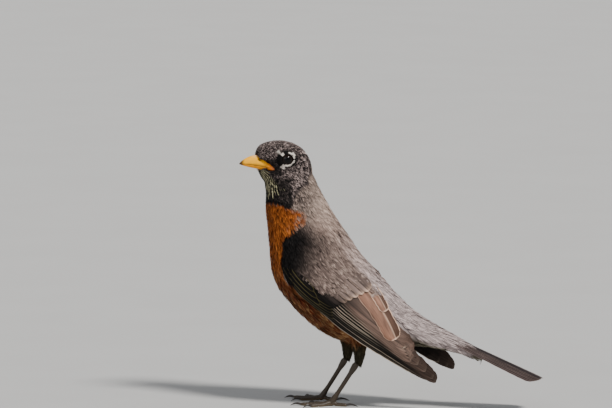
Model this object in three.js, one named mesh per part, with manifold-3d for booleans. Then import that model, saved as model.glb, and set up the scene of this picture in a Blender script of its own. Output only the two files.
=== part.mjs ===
// An American robin, Turdus migratorius: a still model of an adult, of life size. It stands upright on
// a flat floor, its wings drooped a little at its sides, its head turned to its left and its tail low.
// Millimetres, +Z up. The bird faces -Y and its left side is +X. It stands on Z = 0.
import * as THREE from 'three';
import { mergeVertices } from 'three/addons/utils/BufferGeometryUtils.js';
import Module from 'manifold-3d';

const wasm = await Module();
wasm.setup();

// ---- Driving dimensions ----------------------------------------------------------------------

const GAP = 0.3; // clearance between neighbouring pieces
const SIDES = { left: 1, right: -1 };
const BEYOND_ALL = 600; // the size of the boxes that part the forms, larger than the bird

// The rows along each form and the columns round it.
const GRIDS = {
  body: [30, 22],
  head: [18, 18],
  bill: [14, 14],
  eye: [8, 12],
  wing: [24, 16],
  tail: [14, 14],
  thigh: [10, 12],
  tarsus: [10, 9],
  ball: [7, 10],
  toe: [7, 7],
  claw: [5, 6],
};

// The body's sections, each across its axis: where it meets the back's outline and the belly's,
// as [Y, Z], its half width, and how far it is turned with the head, in degrees.
const BODY = [
  { back: [-39, 164], belly: [-39, 164], half: 0, turn: 33 }, // closed inside the head
  { back: [-27, 158], belly: [-50, 155.5], half: 10.5, turn: 33 },
  { back: [-22.3, 150.5], belly: [-54, 147], half: 13.2, turn: 27 }, // nape and throat
  { back: [-18, 142], belly: [-53.3, 137.5], half: 15.5, turn: 14 },
  { back: [-12.5, 132], belly: [-53.5, 127], half: 18.5, turn: 5 }, // foot of the neck
  { back: [-5.5, 121], belly: [-52, 115], half: 21.5, turn: 0 },
  { back: [2.5, 110], belly: [-50.5, 100], half: 24.5, turn: 0 }, // shoulders and breast
  { back: [10.5, 98.5], belly: [-49, 85.5], half: 26.5, turn: 0 },
  { back: [18.8, 90], belly: [-44, 74.5], half: 27, turn: 0 }, // the widest section
  { back: [26.2, 81.8], belly: [-36.5, 65.5], half: 26.5, turn: 0 },
  { back: [34.2, 73.8], belly: [-27.5, 56.5], half: 25, turn: 0 },
  { back: [42.2, 66.6], belly: [-16, 47.5], half: 22.5, turn: 0 },
  { back: [50, 60.5], belly: [-1, 41], half: 19.5, turn: 0 }, // vent
  { back: [58, 56], belly: [16, 38.5], half: 16.5, turn: 0 },
  { back: [66.5, 51.5], belly: [35, 39.5], half: 13.5, turn: 0 }, // rump and undertail coverts
  { back: [76, 46.5], belly: [55, 39.5], half: 11.5, turn: 0 },
  { back: [84.5, 41.5], belly: [74, 36.5], half: 10, turn: 0 },
  { back: [90, 36], belly: [86, 33.5], half: 6, turn: 0 },
  { back: [91, 34], belly: [91, 34], half: 0, turn: 0 }, // tips of the tail coverts
];
// How much wider a section is towards the belly, and how square it is: 1 is an ellipse.
const BODY_SECTION = { egg: 0.05, fullness: 1 };

// The head in its own frame: [forward, up] from its centre, which is on the neck's axis.
const HEAD_CENTRE = new THREE.Vector3(0, -41.5, 157);
const HEAD_TURN = 33; // degrees to the left
const HEAD = [
  { back: [17.8, 1], belly: [17.8, 1], half: 0 },
  { back: [18.9, 6.6], belly: [16.8, -4.2], half: 3.8 }, // feathers round the bill's base
  { back: [18.2, 10.6], belly: [15.4, -8.2], half: 5.2 }, // forehead and chin
  { back: [14.6, 13.6], belly: [12.6, -12.2], half: 6.9 },
  { back: [8.8, 15.1], belly: [7.5, -14.8], half: 8.8 }, // lores and gape
  { back: [2, 15.4], belly: [1.5, -16.8], half: 11.8 }, // across the eyes
  { back: [-5, 13.9], belly: [-5, -17.6], half: 13.1 }, // ear coverts
  { back: [-11, 10.8], belly: [-11, -16.6], half: 12.8 },
  { back: [-15.2, 5.6], belly: [-15.4, -13.6], half: 10.6 },
  { back: [-17.8, -1], belly: [-17.8, -9], half: 6 },
  { back: [-18.5, -5], belly: [-18.5, -5], half: 0 },
];
const HEAD_SECTION = { egg: 0.04, fullness: 0.8 };

const BILL = [
  { back: [6.5, -3.6], belly: [6.5, -3.6], half: 0 }, // corners of the gape
  { back: [8.6, -2], belly: [8, -5], half: 9.8 },
  { back: [11.5, 1.2], belly: [10.5, -5.2], half: 8.6 },
  { back: [15.5, 5.2], belly: [14.5, -4.6], half: 6.5 },
  { back: [20, 5.8], belly: [19.9, -3.1], half: 3.8 }, // nostrils
  { back: [23.5, 4.9], belly: [23.4, -2.3], half: 2.7 },
  { back: [27, 3.3], belly: [26.8, -1.3], half: 1.6 },
  { back: [29.4, 1.8], belly: [29, -0.2], half: 0.8 },
  { back: [30.3, 0.9], belly: [30.3, 0.9], half: 0 },
];
const BILL_SECTION = { egg: 0, fullness: 1 };
const BILL_SPLIT = { at: [18, -1], slope: 7.5 }; // the line where the mandibles meet, degrees

const EYE_RADIUS = 5;
const EYE = { side: 8.1, forward: 0.6, up: 3.3 };

// The planes that part the body: a point [Y, Z] and the direction [Y, Z] towards the head.
const CUTS = {
  nape: { at: [-38, 143], to: [-0.34, 0.94] },
  shoulders: { at: [-31, 121.5], to: [-0.2, 0.98] },
  rump: { at: [27, 52], to: [-0.75, 0.66] },
};

// A folded wing, in its own plane: A runs from the bend of the wing to its tip, B up across it.
// Each section has its lower and upper edge in B, how far out and at what level in B it is widest,
// how thick it is, and the radius to which it is wrapped round the body.
const WING_BEND = [-36, 88]; // [Y, Z]
const WING_SLOPE = { left: 32.3, right: 29.8 }; // degrees below the horizontal
const WING = [
  { a: -5, lower: 13, upper: 13, out: 22, level: 8, thick: 8, radius: 26 },
  { a: -1, lower: 3, upper: 21, out: 25.5, level: 8, thick: 9, radius: 24 },
  { a: 7, lower: -3.5, upper: 24.5, out: 28.2, level: 6, thick: 9, radius: 23 },
  { a: 20, lower: -7, upper: 24.5, out: 30, level: 3, thick: 9, radius: 24 },
  { a: 38, lower: -7.2, upper: 24, out: 30.4, level: 0, thick: 8, radius: 26 },
  { a: 55, lower: -7.2, upper: 22, out: 29.4, level: -2.5, thick: 5, radius: 28 },
  { a: 70, lower: -7, upper: 17.8, out: 27.4, level: -5, thick: 3.8, radius: 28 },
  { a: 84, lower: -7, upper: 11.8, out: 25, level: -7, thick: 3.2, radius: 31 },
  { a: 97, lower: -6.6, upper: 5.2, out: 22.8, level: -7, thick: 2.8, radius: 36 },
  { a: 112, lower: -5.6, upper: -0.8, out: 20.5, level: -7, thick: 2.2, radius: 50 },
  { a: 124, lower: -4.2, upper: -4.2, out: 19, level: -4.2, thick: 1.2, radius: 50 },
];
const WING_FULLNESS = 0.55; // 1 is a lens, less has blunter edges
const WING_ARM_END = 48; // where the coverts give way to the flight feathers, in A
const PRIMARIES_LINE = { from: [48, 2.5], to: [124, -4.2] }; // primaries below it, in [A, B]

// The folded tail, along its middle from the root in the rump to the tip.
const TAIL_ROOT = [50, 52.5]; // [Y, Z]
const TAIL_TIP = [132.5, 17.8];
const TAIL_ARCH = { rise: 2.2, half: 15 }; // the middle is higher than the edges, this far out
const TAIL = [
  { at: 0, half: 0, thick: 2.5 },
  { at: 0.04, half: 7, thick: 3.2 },
  { at: 0.3, half: 10.5, thick: 3.2 },
  { at: 0.6, half: 13.2, thick: 2.8 },
  { at: 0.85, half: 15.4, thick: 2.2 },
  { at: 0.965, half: 15.2, thick: 1.6 },
  { at: 1, half: 10, thick: 1 }, // the feathers' tips, cut across
];

// The legs. The left foot is set back and the right one forward, in a slow step.
const LEGS = {
  left: { hip: [9.5, 54], heel: [12.3, 27.5], ball: -6.5 },
  right: { hip: [-5, 54], heel: [-2, 26.8], ball: -20 },
};
const HIP_OUT = 9.5; // from the bird's middle
const LEG_OUT = 13; // of heel and ball
const TOE_OUT = 8; // degrees that a foot is turned outwards
const BALL_HEIGHT = 2.3;
const BALL_RADIUS = 2.5;
const SHIN_BOW = { out: 0.8, back: 2 }; // of the thigh's middle, off a straight line
const TARSUS_BOW = { up: 0.4, back: 0.4 };
const TIBIA = [
  { at: 0, radius: 0 },
  { at: 0.06, radius: 5 },
  { at: 0.3, radius: 5.8 },
  { at: 0.6, radius: 4.6 },
  { at: 0.85, radius: 3.4 },
  { at: 0.97, radius: 2.4 },
  { at: 1, radius: 0 },
];
const TARSUS = [
  { at: 0, radius: 0 },
  { at: 0.03, radius: 1.9 },
  { at: 0.12, radius: 2.3 },
  { at: 0.3, radius: 1.55 },
  { at: 0.8, radius: 1.45 },
  { at: 0.97, radius: 2.1 },
  { at: 1, radius: 0 },
];
// A toe's middle from the ball: [along, up], first in millimetres, then as shares of its length and
// its radius. Its thickness and its claw's are shares of its radius too.
const TOE_START = [2.5, 1.95];
const TOE_PATH = [
  [0.35, 0.79],
  [0.7, 0.72],
  [1, 0.72],
];
const TOE_TABLE = [
  { at: 0, radius: 0 },
  { at: 0.05, radius: 1 },
  { at: 0.3, radius: 1.02 },
  { at: 0.6, radius: 0.86 },
  { at: 0.93, radius: 0.8 },
  { at: 1, radius: 0 },
];
// A claw's middle from where it leaves the toe: [along, up] as shares of its length and the toe's
// radius. It starts inside the toe, this far back and at this share of the radius, and ends on the
// floor.
const CLAW_SUNK = 1.6;
const CLAW_SUNK_LEVEL = 0.85;
const CLAW_PATH = [
  [0.3, 1.1],
  [0.72, 0.65],
  [1, -0.08],
];
const CLAW_TABLE = [
  { at: 0, radius: 0 },
  { at: 0.04, radius: 0.62 },
  { at: 0.4, radius: 0.56 },
  { at: 0.8, radius: 0.31 },
  { at: 1, radius: 0 },
];
// Each toe's heading from straight ahead, positive outwards, and its length to the claw's base.
const TOES = [
  { name: 'middle', heading: 3, length: 20.5, radius: 1.35, claw: 6 },
  { name: 'inner', heading: -34, length: 14.5, radius: 1.25, claw: 5.2 },
  { name: 'outer', heading: 36, length: 15.5, radius: 1.2, claw: 5.2 },
  { name: 'hind', heading: 176, length: 12, radius: 1.4, claw: 7.5 },
];

// ---- Materials -------------------------------------------------------------------------------

const finish = (color, roughness) => new THREE.MeshStandardMaterial({ color, roughness, metalness: 0 });
const LOOKS = {
  hood: finish(0x2a2423, 0.8),
  mantle: finish(0x84756d, 0.8),
  breast: finish(0x9c4f1e, 0.8),
  rump: finish(0x8f8887, 0.8),
  wing: finish(0x574c46, 0.7),
  tail: finish(0x4a4440, 0.6),
  bill: finish(0xe8a820, 0.4),
  eye: finish(0x150d0a, 0.08),
  leg: finish(0x3a2c22, 0.55),
  claw: finish(0x1c1714, 0.35),
};

// ---- Tools -----------------------------------------------------------------------------------

const radians = THREE.MathUtils.degToRad;
const fuller = (value, fullness) => Math.sign(value) * Math.abs(value) ** fullness;
const X_AXIS = new THREE.Vector3(1, 0, 0);

// A closed three.js geometry as a solid, turned the right way out and grown outwards by grow.
function solid(geometry, grow = 0) {
  const bare = new THREE.BufferGeometry();
  bare.setAttribute('position', geometry.getAttribute('position').clone());
  if (geometry.index) bare.setIndex(geometry.index.clone());
  const merged = mergeVertices(bare, 1e-4);
  const triVerts = new Uint32Array(merged.index.array);
  const vertProperties = new Float32Array(merged.attributes.position.array);
  const manifold = () => new wasm.Manifold(new wasm.Mesh({ numProp: 3, vertProperties, triVerts }));
  if (manifold().volume() < 0) {
    for (let i = 0; i < triVerts.length; i += 3) {
      [triVerts[i + 1], triVerts[i + 2]] = [triVerts[i + 2], triVerts[i + 1]];
    }
  }
  if (grow) {
    merged.setIndex(new THREE.BufferAttribute(triVerts, 1));
    merged.computeVertexNormals();
    const normals = merged.attributes.normal.array;
    vertProperties.forEach((value, i) => (vertProperties[i] = value + grow * normals[i]));
  }
  return manifold();
}

// The largest body of a solid, as a named three.js mesh.
function meshOf(name, made, material) {
  const bodies = made.decompose().sort((a, b) => b.volume() - a.volume());
  const { numProp, numVert, vertProperties, triVerts } = bodies[0].getMesh();
  const positions = new Float32Array(numVert * 3);
  for (let i = 0; i < numVert; i++) {
    positions.set(vertProperties.subarray(i * numProp, i * numProp + 3), i * 3);
  }
  const geometry = new THREE.BufferGeometry();
  geometry.setAttribute('position', new THREE.BufferAttribute(positions, 3));
  geometry.setIndex(new THREE.BufferAttribute(new Uint32Array(triVerts), 1));
  geometry.computeVertexNormals();
  const mesh = new THREE.Mesh(geometry, material);
  mesh.name = name;
  return mesh;
}

// A closed body: a sphere's rows and columns moved to place(t, angle), t from end to end.
function sweep([rows, columns], place) {
  const geometry = new THREE.SphereGeometry(1, columns, rows);
  const position = geometry.getAttribute('position');
  const point = new THREE.Vector3();
  for (let i = 0; i <= rows; i++) {
    for (let j = 0; j <= columns; j++) {
      place(i / rows, ((j % columns) / columns) * 2 * Math.PI, point);
      position.setXYZ(i * (columns + 1) + j, point.x, point.y, point.z);
    }
  }
  return geometry;
}

// A smooth curve through one pair of values of each row of a table, read at t from 0 to 1.
function through(table, pair) {
  return new THREE.SplineCurve(table.map((row) => new THREE.Vector2(...pair(row))));
}

// A body through sections like those of BODY, in [Y, Z].
function loft(table, { egg, fullness }, grid) {
  const backs = through(table, (row) => row.back);
  const bellies = through(table, (row) => row.belly);
  const widths = through(table, (row) => [row.half, row.turn ?? 0]);
  return sweep(grid, (t, angle, point) => {
    const back = backs.getPoint(t);
    const belly = bellies.getPoint(t);
    const { x: half, y: turn } = widths.getPoint(t);
    const middle = back.clone().add(belly).multiplyScalar(0.5);
    const up = back.clone().sub(middle);
    const rise = fuller(Math.cos(angle), fullness);
    const along = up.x * rise;
    const across = Math.max(half, 0) * fuller(Math.sin(angle), fullness) * (1 - egg * rise);
    const [c, s] = [Math.cos(radians(turn)), Math.sin(radians(turn))];
    point.set(
      across * c - along * s,
      middle.x + across * s + along * c,
      middle.y + up.y * rise,
    );
  });
}

// The half of space beyond a plane in the bird's middle, less half a gap.
function beyond(at, to) {
  const normal = new THREE.Vector3(0, to[0], to[1]).normalize();
  const box = new THREE.BoxGeometry(BEYOND_ALL, BEYOND_ALL, BEYOND_ALL);
  const turn = new THREE.Quaternion().setFromUnitVectors(new THREE.Vector3(0, 0, 1), normal);
  box.applyQuaternion(turn);
  const away = normal.multiplyScalar((BEYOND_ALL + GAP) / 2);
  const middle = away.add(new THREE.Vector3(0, at[0], at[1]));
  return solid(box.translate(middle.x, middle.y, middle.z));
}

const headSide = ({ at, to }) => beyond(at, to);
const tailSide = ({ at, to }) => beyond(at, [-to[0], -to[1]]);

// A tapering round body along a curve that lies in the plane across the direction called across,
// its radius from a table of { at, radius }, times a thickness.
function limb(curve, across, table, grid, thickness = 1) {
  const radii = through(table, (row) => [row.at, row.radius]);
  return sweep(grid, (t, angle, point) => {
    const { x, y } = radii.getPoint(t);
    const at = THREE.MathUtils.clamp(x, 0, 1);
    const radius = Math.max(y, 0) * thickness;
    const over = curve.getTangent(at).cross(across).normalize();
    point.copy(curve.getPoint(at));
    point.addScaledVector(across, radius * Math.cos(angle));
    point.addScaledVector(over, radius * Math.sin(angle));
  });
}

// ---- Head, bill and eyes ---------------------------------------------------------------------

const headFrame = new THREE.Matrix4()
  .makeRotationZ(radians(HEAD_TURN))
  .setPosition(HEAD_CENTRE);

// [forward, up] in the head's frame to [Y, Z]: forward is -Y.
const forwards = (table) =>
  table.map((row) => ({
    ...row,
    back: [-row.back[0], row.back[1]],
    belly: [-row.belly[0], row.belly[1]],
  }));

const inHead = (geometry) => geometry.applyMatrix4(headFrame);
const headForm = (grow) => solid(inHead(loft(forwards(HEAD), HEAD_SECTION, GRIDS.head)), grow);
const billForm = (grow) => solid(inHead(loft(forwards(BILL), BILL_SECTION, GRIDS.bill)), grow);
const bodyForm = (grow) => solid(loft(BODY, BODY_SECTION, GRIDS.body), grow);

// A sphere with a form's grid.
function sphere(radius, [rows, columns]) {
  return new THREE.SphereGeometry(radius, columns, rows);
}

function eyeball(side, grow = 0) {
  const ball = sphere(EYE_RADIUS, GRIDS.eye);
  return solid(inHead(ball.translate(side * EYE.side, -EYE.forward, EYE.up)), grow);
}

function billHalf(upper) {
  const box = new THREE.BoxGeometry(BEYOND_ALL, BEYOND_ALL, BEYOND_ALL);
  box.translate(0, 0, ((upper ? 1 : -1) * (BEYOND_ALL + GAP)) / 2);
  box.rotateX(radians(BILL_SPLIT.slope));
  box.translate(0, -BILL_SPLIT.at[0], BILL_SPLIT.at[1]);
  return solid(inHead(box));
}

// ---- Wings -----------------------------------------------------------------------------------

// The directions of A and B in [Y, Z], and the way from a wing's own plane to there.
function wingPlane(name) {
  const slope = radians(WING_SLOPE[name]);
  const along = [Math.cos(slope), -Math.sin(slope)];
  const up = [Math.sin(slope), Math.cos(slope)];
  const place = (a, b) => WING_BEND.map((start, i) => start + a * along[i] + b * up[i]);
  return { along, place };
}

// The whole folded wing, a lens-shaped shell wrapped round the body.
function wingForm(name, place) {
  const edges = through(WING, (row) => [row.lower, row.upper]);
  const places = through(WING, (row) => [row.a, row.out]);
  const bends = through(WING, (row) => [row.level, row.radius]);
  const thicks = through(WING, (row) => [row.thick, 0]);
  return solid(
    sweep(GRIDS.wing, (t, angle, point) => {
      const { x: lower, y: upper } = edges.getPoint(t);
      const { x: a, y: out } = places.getPoint(t);
      const { x: level, y: radius } = bends.getPoint(t);
      const half = t === 0 || t === 1 ? 0 : (upper - lower) / 2;
      const b = (upper + lower) / 2 + half * Math.cos(angle);
      const bend = radius - Math.sqrt(radius ** 2 - (b - level) ** 2);
      const face = half ? fuller(Math.sin(angle), WING_FULLNESS) : 0;
      const depth = (thicks.getPoint(t).x * (1 - face)) / 2;
      point.set(SIDES[name] * (out - bend - depth), ...place(a, b));
    }),
  );
}

// ---- Tail ------------------------------------------------------------------------------------

function tailForm() {
  const shape = through(TAIL, (row) => [row.half, row.thick]);
  const places = through(TAIL, (row) => [row.at, 0]);
  return solid(
    sweep(GRIDS.tail, (t, angle, point) => {
      const { x: half, y: thick } = shape.getPoint(t);
      const at = places.getPoint(t).x;
      const open = t > 0 && t < 1 ? 1 : 0; // both ends close to a point
      const wide = open * half * Math.cos(angle);
      const arch = TAIL_ARCH.rise * (1 - (wide / TAIL_ARCH.half) ** 2);
      const lift = arch + open * (thick / 2) * Math.sin(angle);
      point.set(
        wide,
        THREE.MathUtils.lerp(TAIL_ROOT[0], TAIL_TIP[0], at),
        THREE.MathUtils.lerp(TAIL_ROOT[1], TAIL_TIP[1], at) + lift,
      );
    }),
  );
}

// ---- Legs ------------------------------------------------------------------------------------

// The directions ahead of a toe and across it.
function toeWays(heading) {
  const ahead = new THREE.Vector3(Math.sin(heading), -Math.cos(heading), 0);
  const across = new THREE.Vector3(-ahead.y, ahead.x, 0);
  return { ahead, across };
}

// A toe that leaves the ball and runs along the floor, flat underneath.
function toeForm(ball, heading, { length, radius }, grow = 0) {
  const { ahead, across } = toeWays(heading);
  const from = (along, height) => ball.clone().addScaledVector(ahead, along).setZ(height);
  const curve = new THREE.CatmullRomCurve3([
    ball.clone(),
    from(...TOE_START),
    ...TOE_PATH.map(([along, up]) => from(along * length, up * radius)),
  ]);
  return solid(limb(curve, across, TOE_TABLE, GRIDS.toe, radius), grow);
}

function clawForm(ball, heading, { length, radius, claw }) {
  const { ahead, across } = toeWays(heading);
  const from = (along, height) => ball.clone().addScaledVector(ahead, along).setZ(height);
  const curve = new THREE.CatmullRomCurve3([
    from(length - CLAW_SUNK, radius * CLAW_SUNK_LEVEL),
    ...CLAW_PATH.map(([along, up]) => from(length + along * claw, up * radius)),
  ]);
  return solid(limb(curve, across, CLAW_TABLE, GRIDS.claw, radius));
}

const aboveFloor = solid(
  new THREE.BoxGeometry(BEYOND_ALL, BEYOND_ALL, BEYOND_ALL).translate(0, 0, BEYOND_ALL / 2),
);

function leg(name, body) {
  const side = SIDES[name];
  const { hip, heel, ball } = LEGS[name];
  const at = (y, z, out = LEG_OUT) => new THREE.Vector3(side * out, y, z);
  const heelAt = at(...heel);
  const ballAt = at(ball, BALL_HEIGHT);
  const hipAt = at(...hip, HIP_OUT);
  const halfway = (a, b) => a.clone().add(b).multiplyScalar(0.5);
  const shin = halfway(hipAt, heelAt).add(new THREE.Vector3(side * SHIN_BOW.out, SHIN_BOW.back, 0));
  const tibia = new THREE.CatmullRomCurve3([hipAt, shin, heelAt]);
  const shank = halfway(heelAt, ballAt).add(new THREE.Vector3(0, TARSUS_BOW.back, TARSUS_BOW.up));
  const tarsus = new THREE.CatmullRomCurve3([heelAt, shank, ballAt]);
  const knuckle = (grow) => solid(sphere(BALL_RADIUS, GRIDS.ball).translate(...ballAt), grow);
  const foot = (grow) => solid(limb(tarsus, X_AXIS, TARSUS, GRIDS.tarsus), grow).add(knuckle(grow));
  const thigh = solid(limb(tibia, X_AXIS, TIBIA, GRIDS.thigh)).subtract(body).subtract(foot(GAP));
  const pieces = [
    meshOf(`thigh_${name}`, thigh, LOOKS.breast),
    meshOf(`tarsus_${name}`, foot(0).intersect(aboveFloor), LOOKS.leg),
  ];
  let taken = foot(GAP);
  for (const toe of TOES) {
    const turn = toe.name === 'hind' ? toe.heading : toe.heading + TOE_OUT;
    const heading = side * radians(turn);
    const digit = toeForm(ballAt, heading, toe).intersect(aboveFloor).subtract(taken);
    const digitGrown = toeForm(ballAt, heading, toe, GAP);
    const claw = clawForm(ballAt, heading, toe).intersect(aboveFloor).subtract(digitGrown);
    pieces.push(meshOf(`toe_${name}_${toe.name}`, digit, LOOKS.leg));
    pieces.push(meshOf(`claw_${name}_${toe.name}`, claw, LOOKS.claw));
    taken = taken.add(digitGrown);
  }
  return pieces;
}

// ---- The whole bird --------------------------------------------------------------------------

const flesh = bodyForm(0).add(headForm(0));
const fleshGrown = bodyForm(GAP).add(headForm(GAP));
const robin = new THREE.Group();
const put = (name, made, material) => robin.add(meshOf(name, made, material));

function addBody() {
  let head = flesh.intersect(headSide(CUTS.nape)).subtract(billForm(GAP));
  for (const side of Object.values(SIDES)) head = head.subtract(eyeball(side, GAP));
  put('head', head, LOOKS.hood);
  const belowHead = flesh.intersect(tailSide(CUTS.nape));
  put('neck', belowHead.intersect(headSide(CUTS.shoulders)), LOOKS.mantle);
  const belowNeck = flesh.intersect(tailSide(CUTS.shoulders));
  put('trunk', belowNeck.intersect(headSide(CUTS.rump)), LOOKS.breast);
  put('rump', flesh.intersect(tailSide(CUTS.rump)), LOOKS.rump);
  put('tail', tailForm().subtract(fleshGrown), LOOKS.tail);
}

function addBill() {
  put('bill_upper', billForm(0).intersect(billHalf(true)), LOOKS.bill);
  put('bill_lower', billForm(0).intersect(billHalf(false)), LOOKS.bill);
}

// A wing in three pieces: its arm under the coverts, then the flight feathers on either side of
// the line between secondaries and primaries.
function addWing(name) {
  const { along, place } = wingPlane(name);
  const wing = wingForm(name, place).subtract(fleshGrown);
  const wrist = place(WING_ARM_END, 0);
  const away = ([y, z]) => [-y, -z];
  const flight = wing.intersect(beyond(wrist, along));
  const [from, to] = [place(...PRIMARIES_LINE.from), place(...PRIMARIES_LINE.to)];
  const above = [from[1] - to[1], to[0] - from[0]];
  put(`wing_${name}_coverts`, wing.intersect(beyond(wrist, away(along))), LOOKS.wing);
  put(`wing_${name}_secondaries`, flight.intersect(beyond(from, above)), LOOKS.wing);
  put(`wing_${name}_primaries`, flight.intersect(beyond(from, away(above))), LOOKS.wing);
}

addBody();
addBill();
for (const [name, side] of Object.entries(SIDES)) {
  put(`eye_${name}`, eyeball(side), LOOKS.eye);
  addWing(name);
  leg(name, fleshGrown).forEach((piece) => robin.add(piece));
}

// The origin is on the floor, under the middle of the whole bird.
const middle = new THREE.Box3().setFromObject(robin).getCenter(new THREE.Vector3());
robin.position.set(-middle.x, -middle.y, 0);

export default robin;
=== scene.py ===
"""An American robin as a still model of life size: its looks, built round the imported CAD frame.

Lengths are in millimetres until a mesh is made. +Z is up, the bird faces -Y and its left is +X.
"""

import math
from functools import partial
from types import SimpleNamespace

import bmesh
import bpy
import numpy as np
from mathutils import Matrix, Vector
from mathutils.bvhtree import BVHTree
from mathutils.kdtree import KDTree


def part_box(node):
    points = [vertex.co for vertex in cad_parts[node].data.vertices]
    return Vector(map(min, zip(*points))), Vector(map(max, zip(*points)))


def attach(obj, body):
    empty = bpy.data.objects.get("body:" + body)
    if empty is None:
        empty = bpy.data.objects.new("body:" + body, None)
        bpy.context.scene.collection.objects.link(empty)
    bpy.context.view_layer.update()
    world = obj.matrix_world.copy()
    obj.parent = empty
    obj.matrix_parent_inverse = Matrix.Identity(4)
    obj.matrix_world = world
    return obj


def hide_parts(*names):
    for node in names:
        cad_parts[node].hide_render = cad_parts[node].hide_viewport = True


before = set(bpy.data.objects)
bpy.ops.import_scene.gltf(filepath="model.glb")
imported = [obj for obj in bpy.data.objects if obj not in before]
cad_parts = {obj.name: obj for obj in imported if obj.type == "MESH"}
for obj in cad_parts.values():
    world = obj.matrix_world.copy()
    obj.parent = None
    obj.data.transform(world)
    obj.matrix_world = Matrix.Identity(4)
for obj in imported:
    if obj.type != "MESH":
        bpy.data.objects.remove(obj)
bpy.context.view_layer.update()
rng = np.random.default_rng(11)

MM = 0.001
SIDES = {"left": 1, "right": -1}
X, Y, Z = np.eye(3)
WAVES = 6  # that add up to one random value

# ---- Arithmetic ----


def unit(v):
    """Vectors of length 1, along the last axis."""
    return v / np.maximum(np.linalg.norm(v, axis=-1, keepdims=True), 1e-9)


def dot(a, b):
    """Dot products along the last axis, which is kept."""
    return np.sum(a * b, axis=-1, keepdims=True)


def apart(p, q):
    """How far points lie from others."""
    return np.linalg.norm(p - q, axis=-1)


def across_normal(v, normal):
    """Vectors turned to lie across a normal, of length 1."""
    return unit(v - normal * dot(v, normal))


def ramp(low, high, x):
    """0 below low, 1 above high, smooth between. With low above high it falls."""
    t = np.clip((x - low) / (high - low), 0, 1)
    return t * t * (3 - 2 * t)


def hill(x, width):
    """1 where x is 0, and less on both sides, with that width."""
    return np.exp(-((x / width) ** 2))


def mix(a, b, t):
    """a where t is 0, b where it is 1."""
    return a + (b - a) * t


def blend(a, b, t):
    """a where t is 0, b where it is 1, for rows of colours or points."""
    return mix(a, b, np.asarray(t)[..., None])


def within(table, x):
    """Reads a table of (x, value) pairs at x."""
    return np.interp(x, *zip(*table))


def resample(rows, t):
    """Rows of numbers read at each t, from 0 at the first row to 1 at the last."""
    place = t * (len(rows) - 1)
    return np.stack([np.interp(place, range(len(rows)), column) for column in zip(*rows)], axis=1)


def soften(rows, rounds):
    """Rows of numbers smoothed, with the first and the last kept."""
    for _ in range(rounds):
        rows[1:-1] = (rows[:-2] + 2 * rows[1:-1] + rows[2:]) / 4
    return rows


def circle(count):
    """Angles all the way round."""
    return np.linspace(0, 2 * math.pi, count, endpoint=False)


def srgb(red, green, blue):
    """A colour given as 0 to 255, as light."""
    c = np.array([red, green, blue]) / 255
    return np.where(c < 0.04045, c / 12.92, ((c + 0.055) / 1.055) ** 2.4)


def waves(p, size, seed):
    """A smooth random value from about -1 to 1 at points p, with features of that size."""
    dice = np.random.default_rng(seed)
    total = 0
    for _ in range(WAVES):
        turn = unit(dice.normal(size=3)) * dice.uniform(0.7, 1.5) * 2 * math.pi / size
        total = total + np.sin(p @ turn + dice.uniform(0, 6.3))
    return total * 2 / WAVES


# ---- Landmarks, from the frame ----

BODY = ["head", "neck", "trunk", "rump"]
THIGHS = ["thigh_left", "thigh_right"]
ARMS = ["wing_left_coverts", "wing_right_coverts"]
BILL_HALVES = ["bill_upper", "bill_lower"]


def coordinates(mesh):
    """A mesh's points, in millimetres."""
    co = np.empty(len(mesh.vertices) * 3)
    mesh.vertices.foreach_get("co", co)
    return co.reshape(-1, 3) / MM


def points(node):
    return coordinates(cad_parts[node].data)


def centre(node):
    low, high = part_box(node)
    return np.array((low + high) / 2) / MM


def farthest(found, direction):
    """Of some points, the one that lies farthest in a direction."""
    return found[np.argmax(found @ direction)]


def tree_of(nodes):
    """A BVH tree of CAD nodes."""
    verts, faces = [], []
    for node in nodes:
        base = len(verts)
        verts += points(node).tolist()
        faces += [[base + v for v in face.vertices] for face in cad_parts[node].data.polygons]
    return BVHTree.FromPolygons(verts, faces)


def distances(tree, p):
    """How far points are from a BVH tree."""
    return np.array([tree.find_nearest(place)[3] for place in p.tolist()])


EYES = {side: centre(f"eye_{side}") for side in SIDES}
EYE_RADIUS = 5.0
EYE_AHEAD, EYE_RISE = 0.16, 0.03  # how far an eye's axis turns forward and up from sideways
BETWEEN_EYES = (EYES["left"] + EYES["right"]) / 2
LEFT = unit(EYES["left"] - EYES["right"])
FORWARD = np.cross(LEFT, Z)
HEAD_AXES = np.stack([FORWARD, LEFT, Z])


def to_head(p):
    """Forward, left and up from the point between the eyes, in the head's axes."""
    return (p - BETWEEN_EYES) @ HEAD_AXES.T


def from_head(forward, left, up):
    """Points from the same three measures."""
    local = np.stack(np.broadcast_arrays(forward, left, up), axis=-1)
    return BETWEEN_EYES + local @ HEAD_AXES


def eye_frame(side):
    """An eye's centre, and its axes: forward, up and out."""
    out = unit(LEFT * SIDES[side] + FORWARD * EYE_AHEAD + Z * EYE_RISE)
    ahead = unit(FORWARD - out * (FORWARD @ out))
    up = np.cross(ahead, out) * SIDES[side]
    return EYES[side], ahead, up, out


BILL_BASE = from_head(13.0, 0.0, -1.5)

# ---- Meshes ----


def add_object(name, data):
    made = bpy.data.objects.new(name, data)
    bpy.context.scene.collection.objects.link(made)
    return made


def store(layer, key, rows):
    layer.foreach_set(key, rows.astype(np.float32).ravel())


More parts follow.
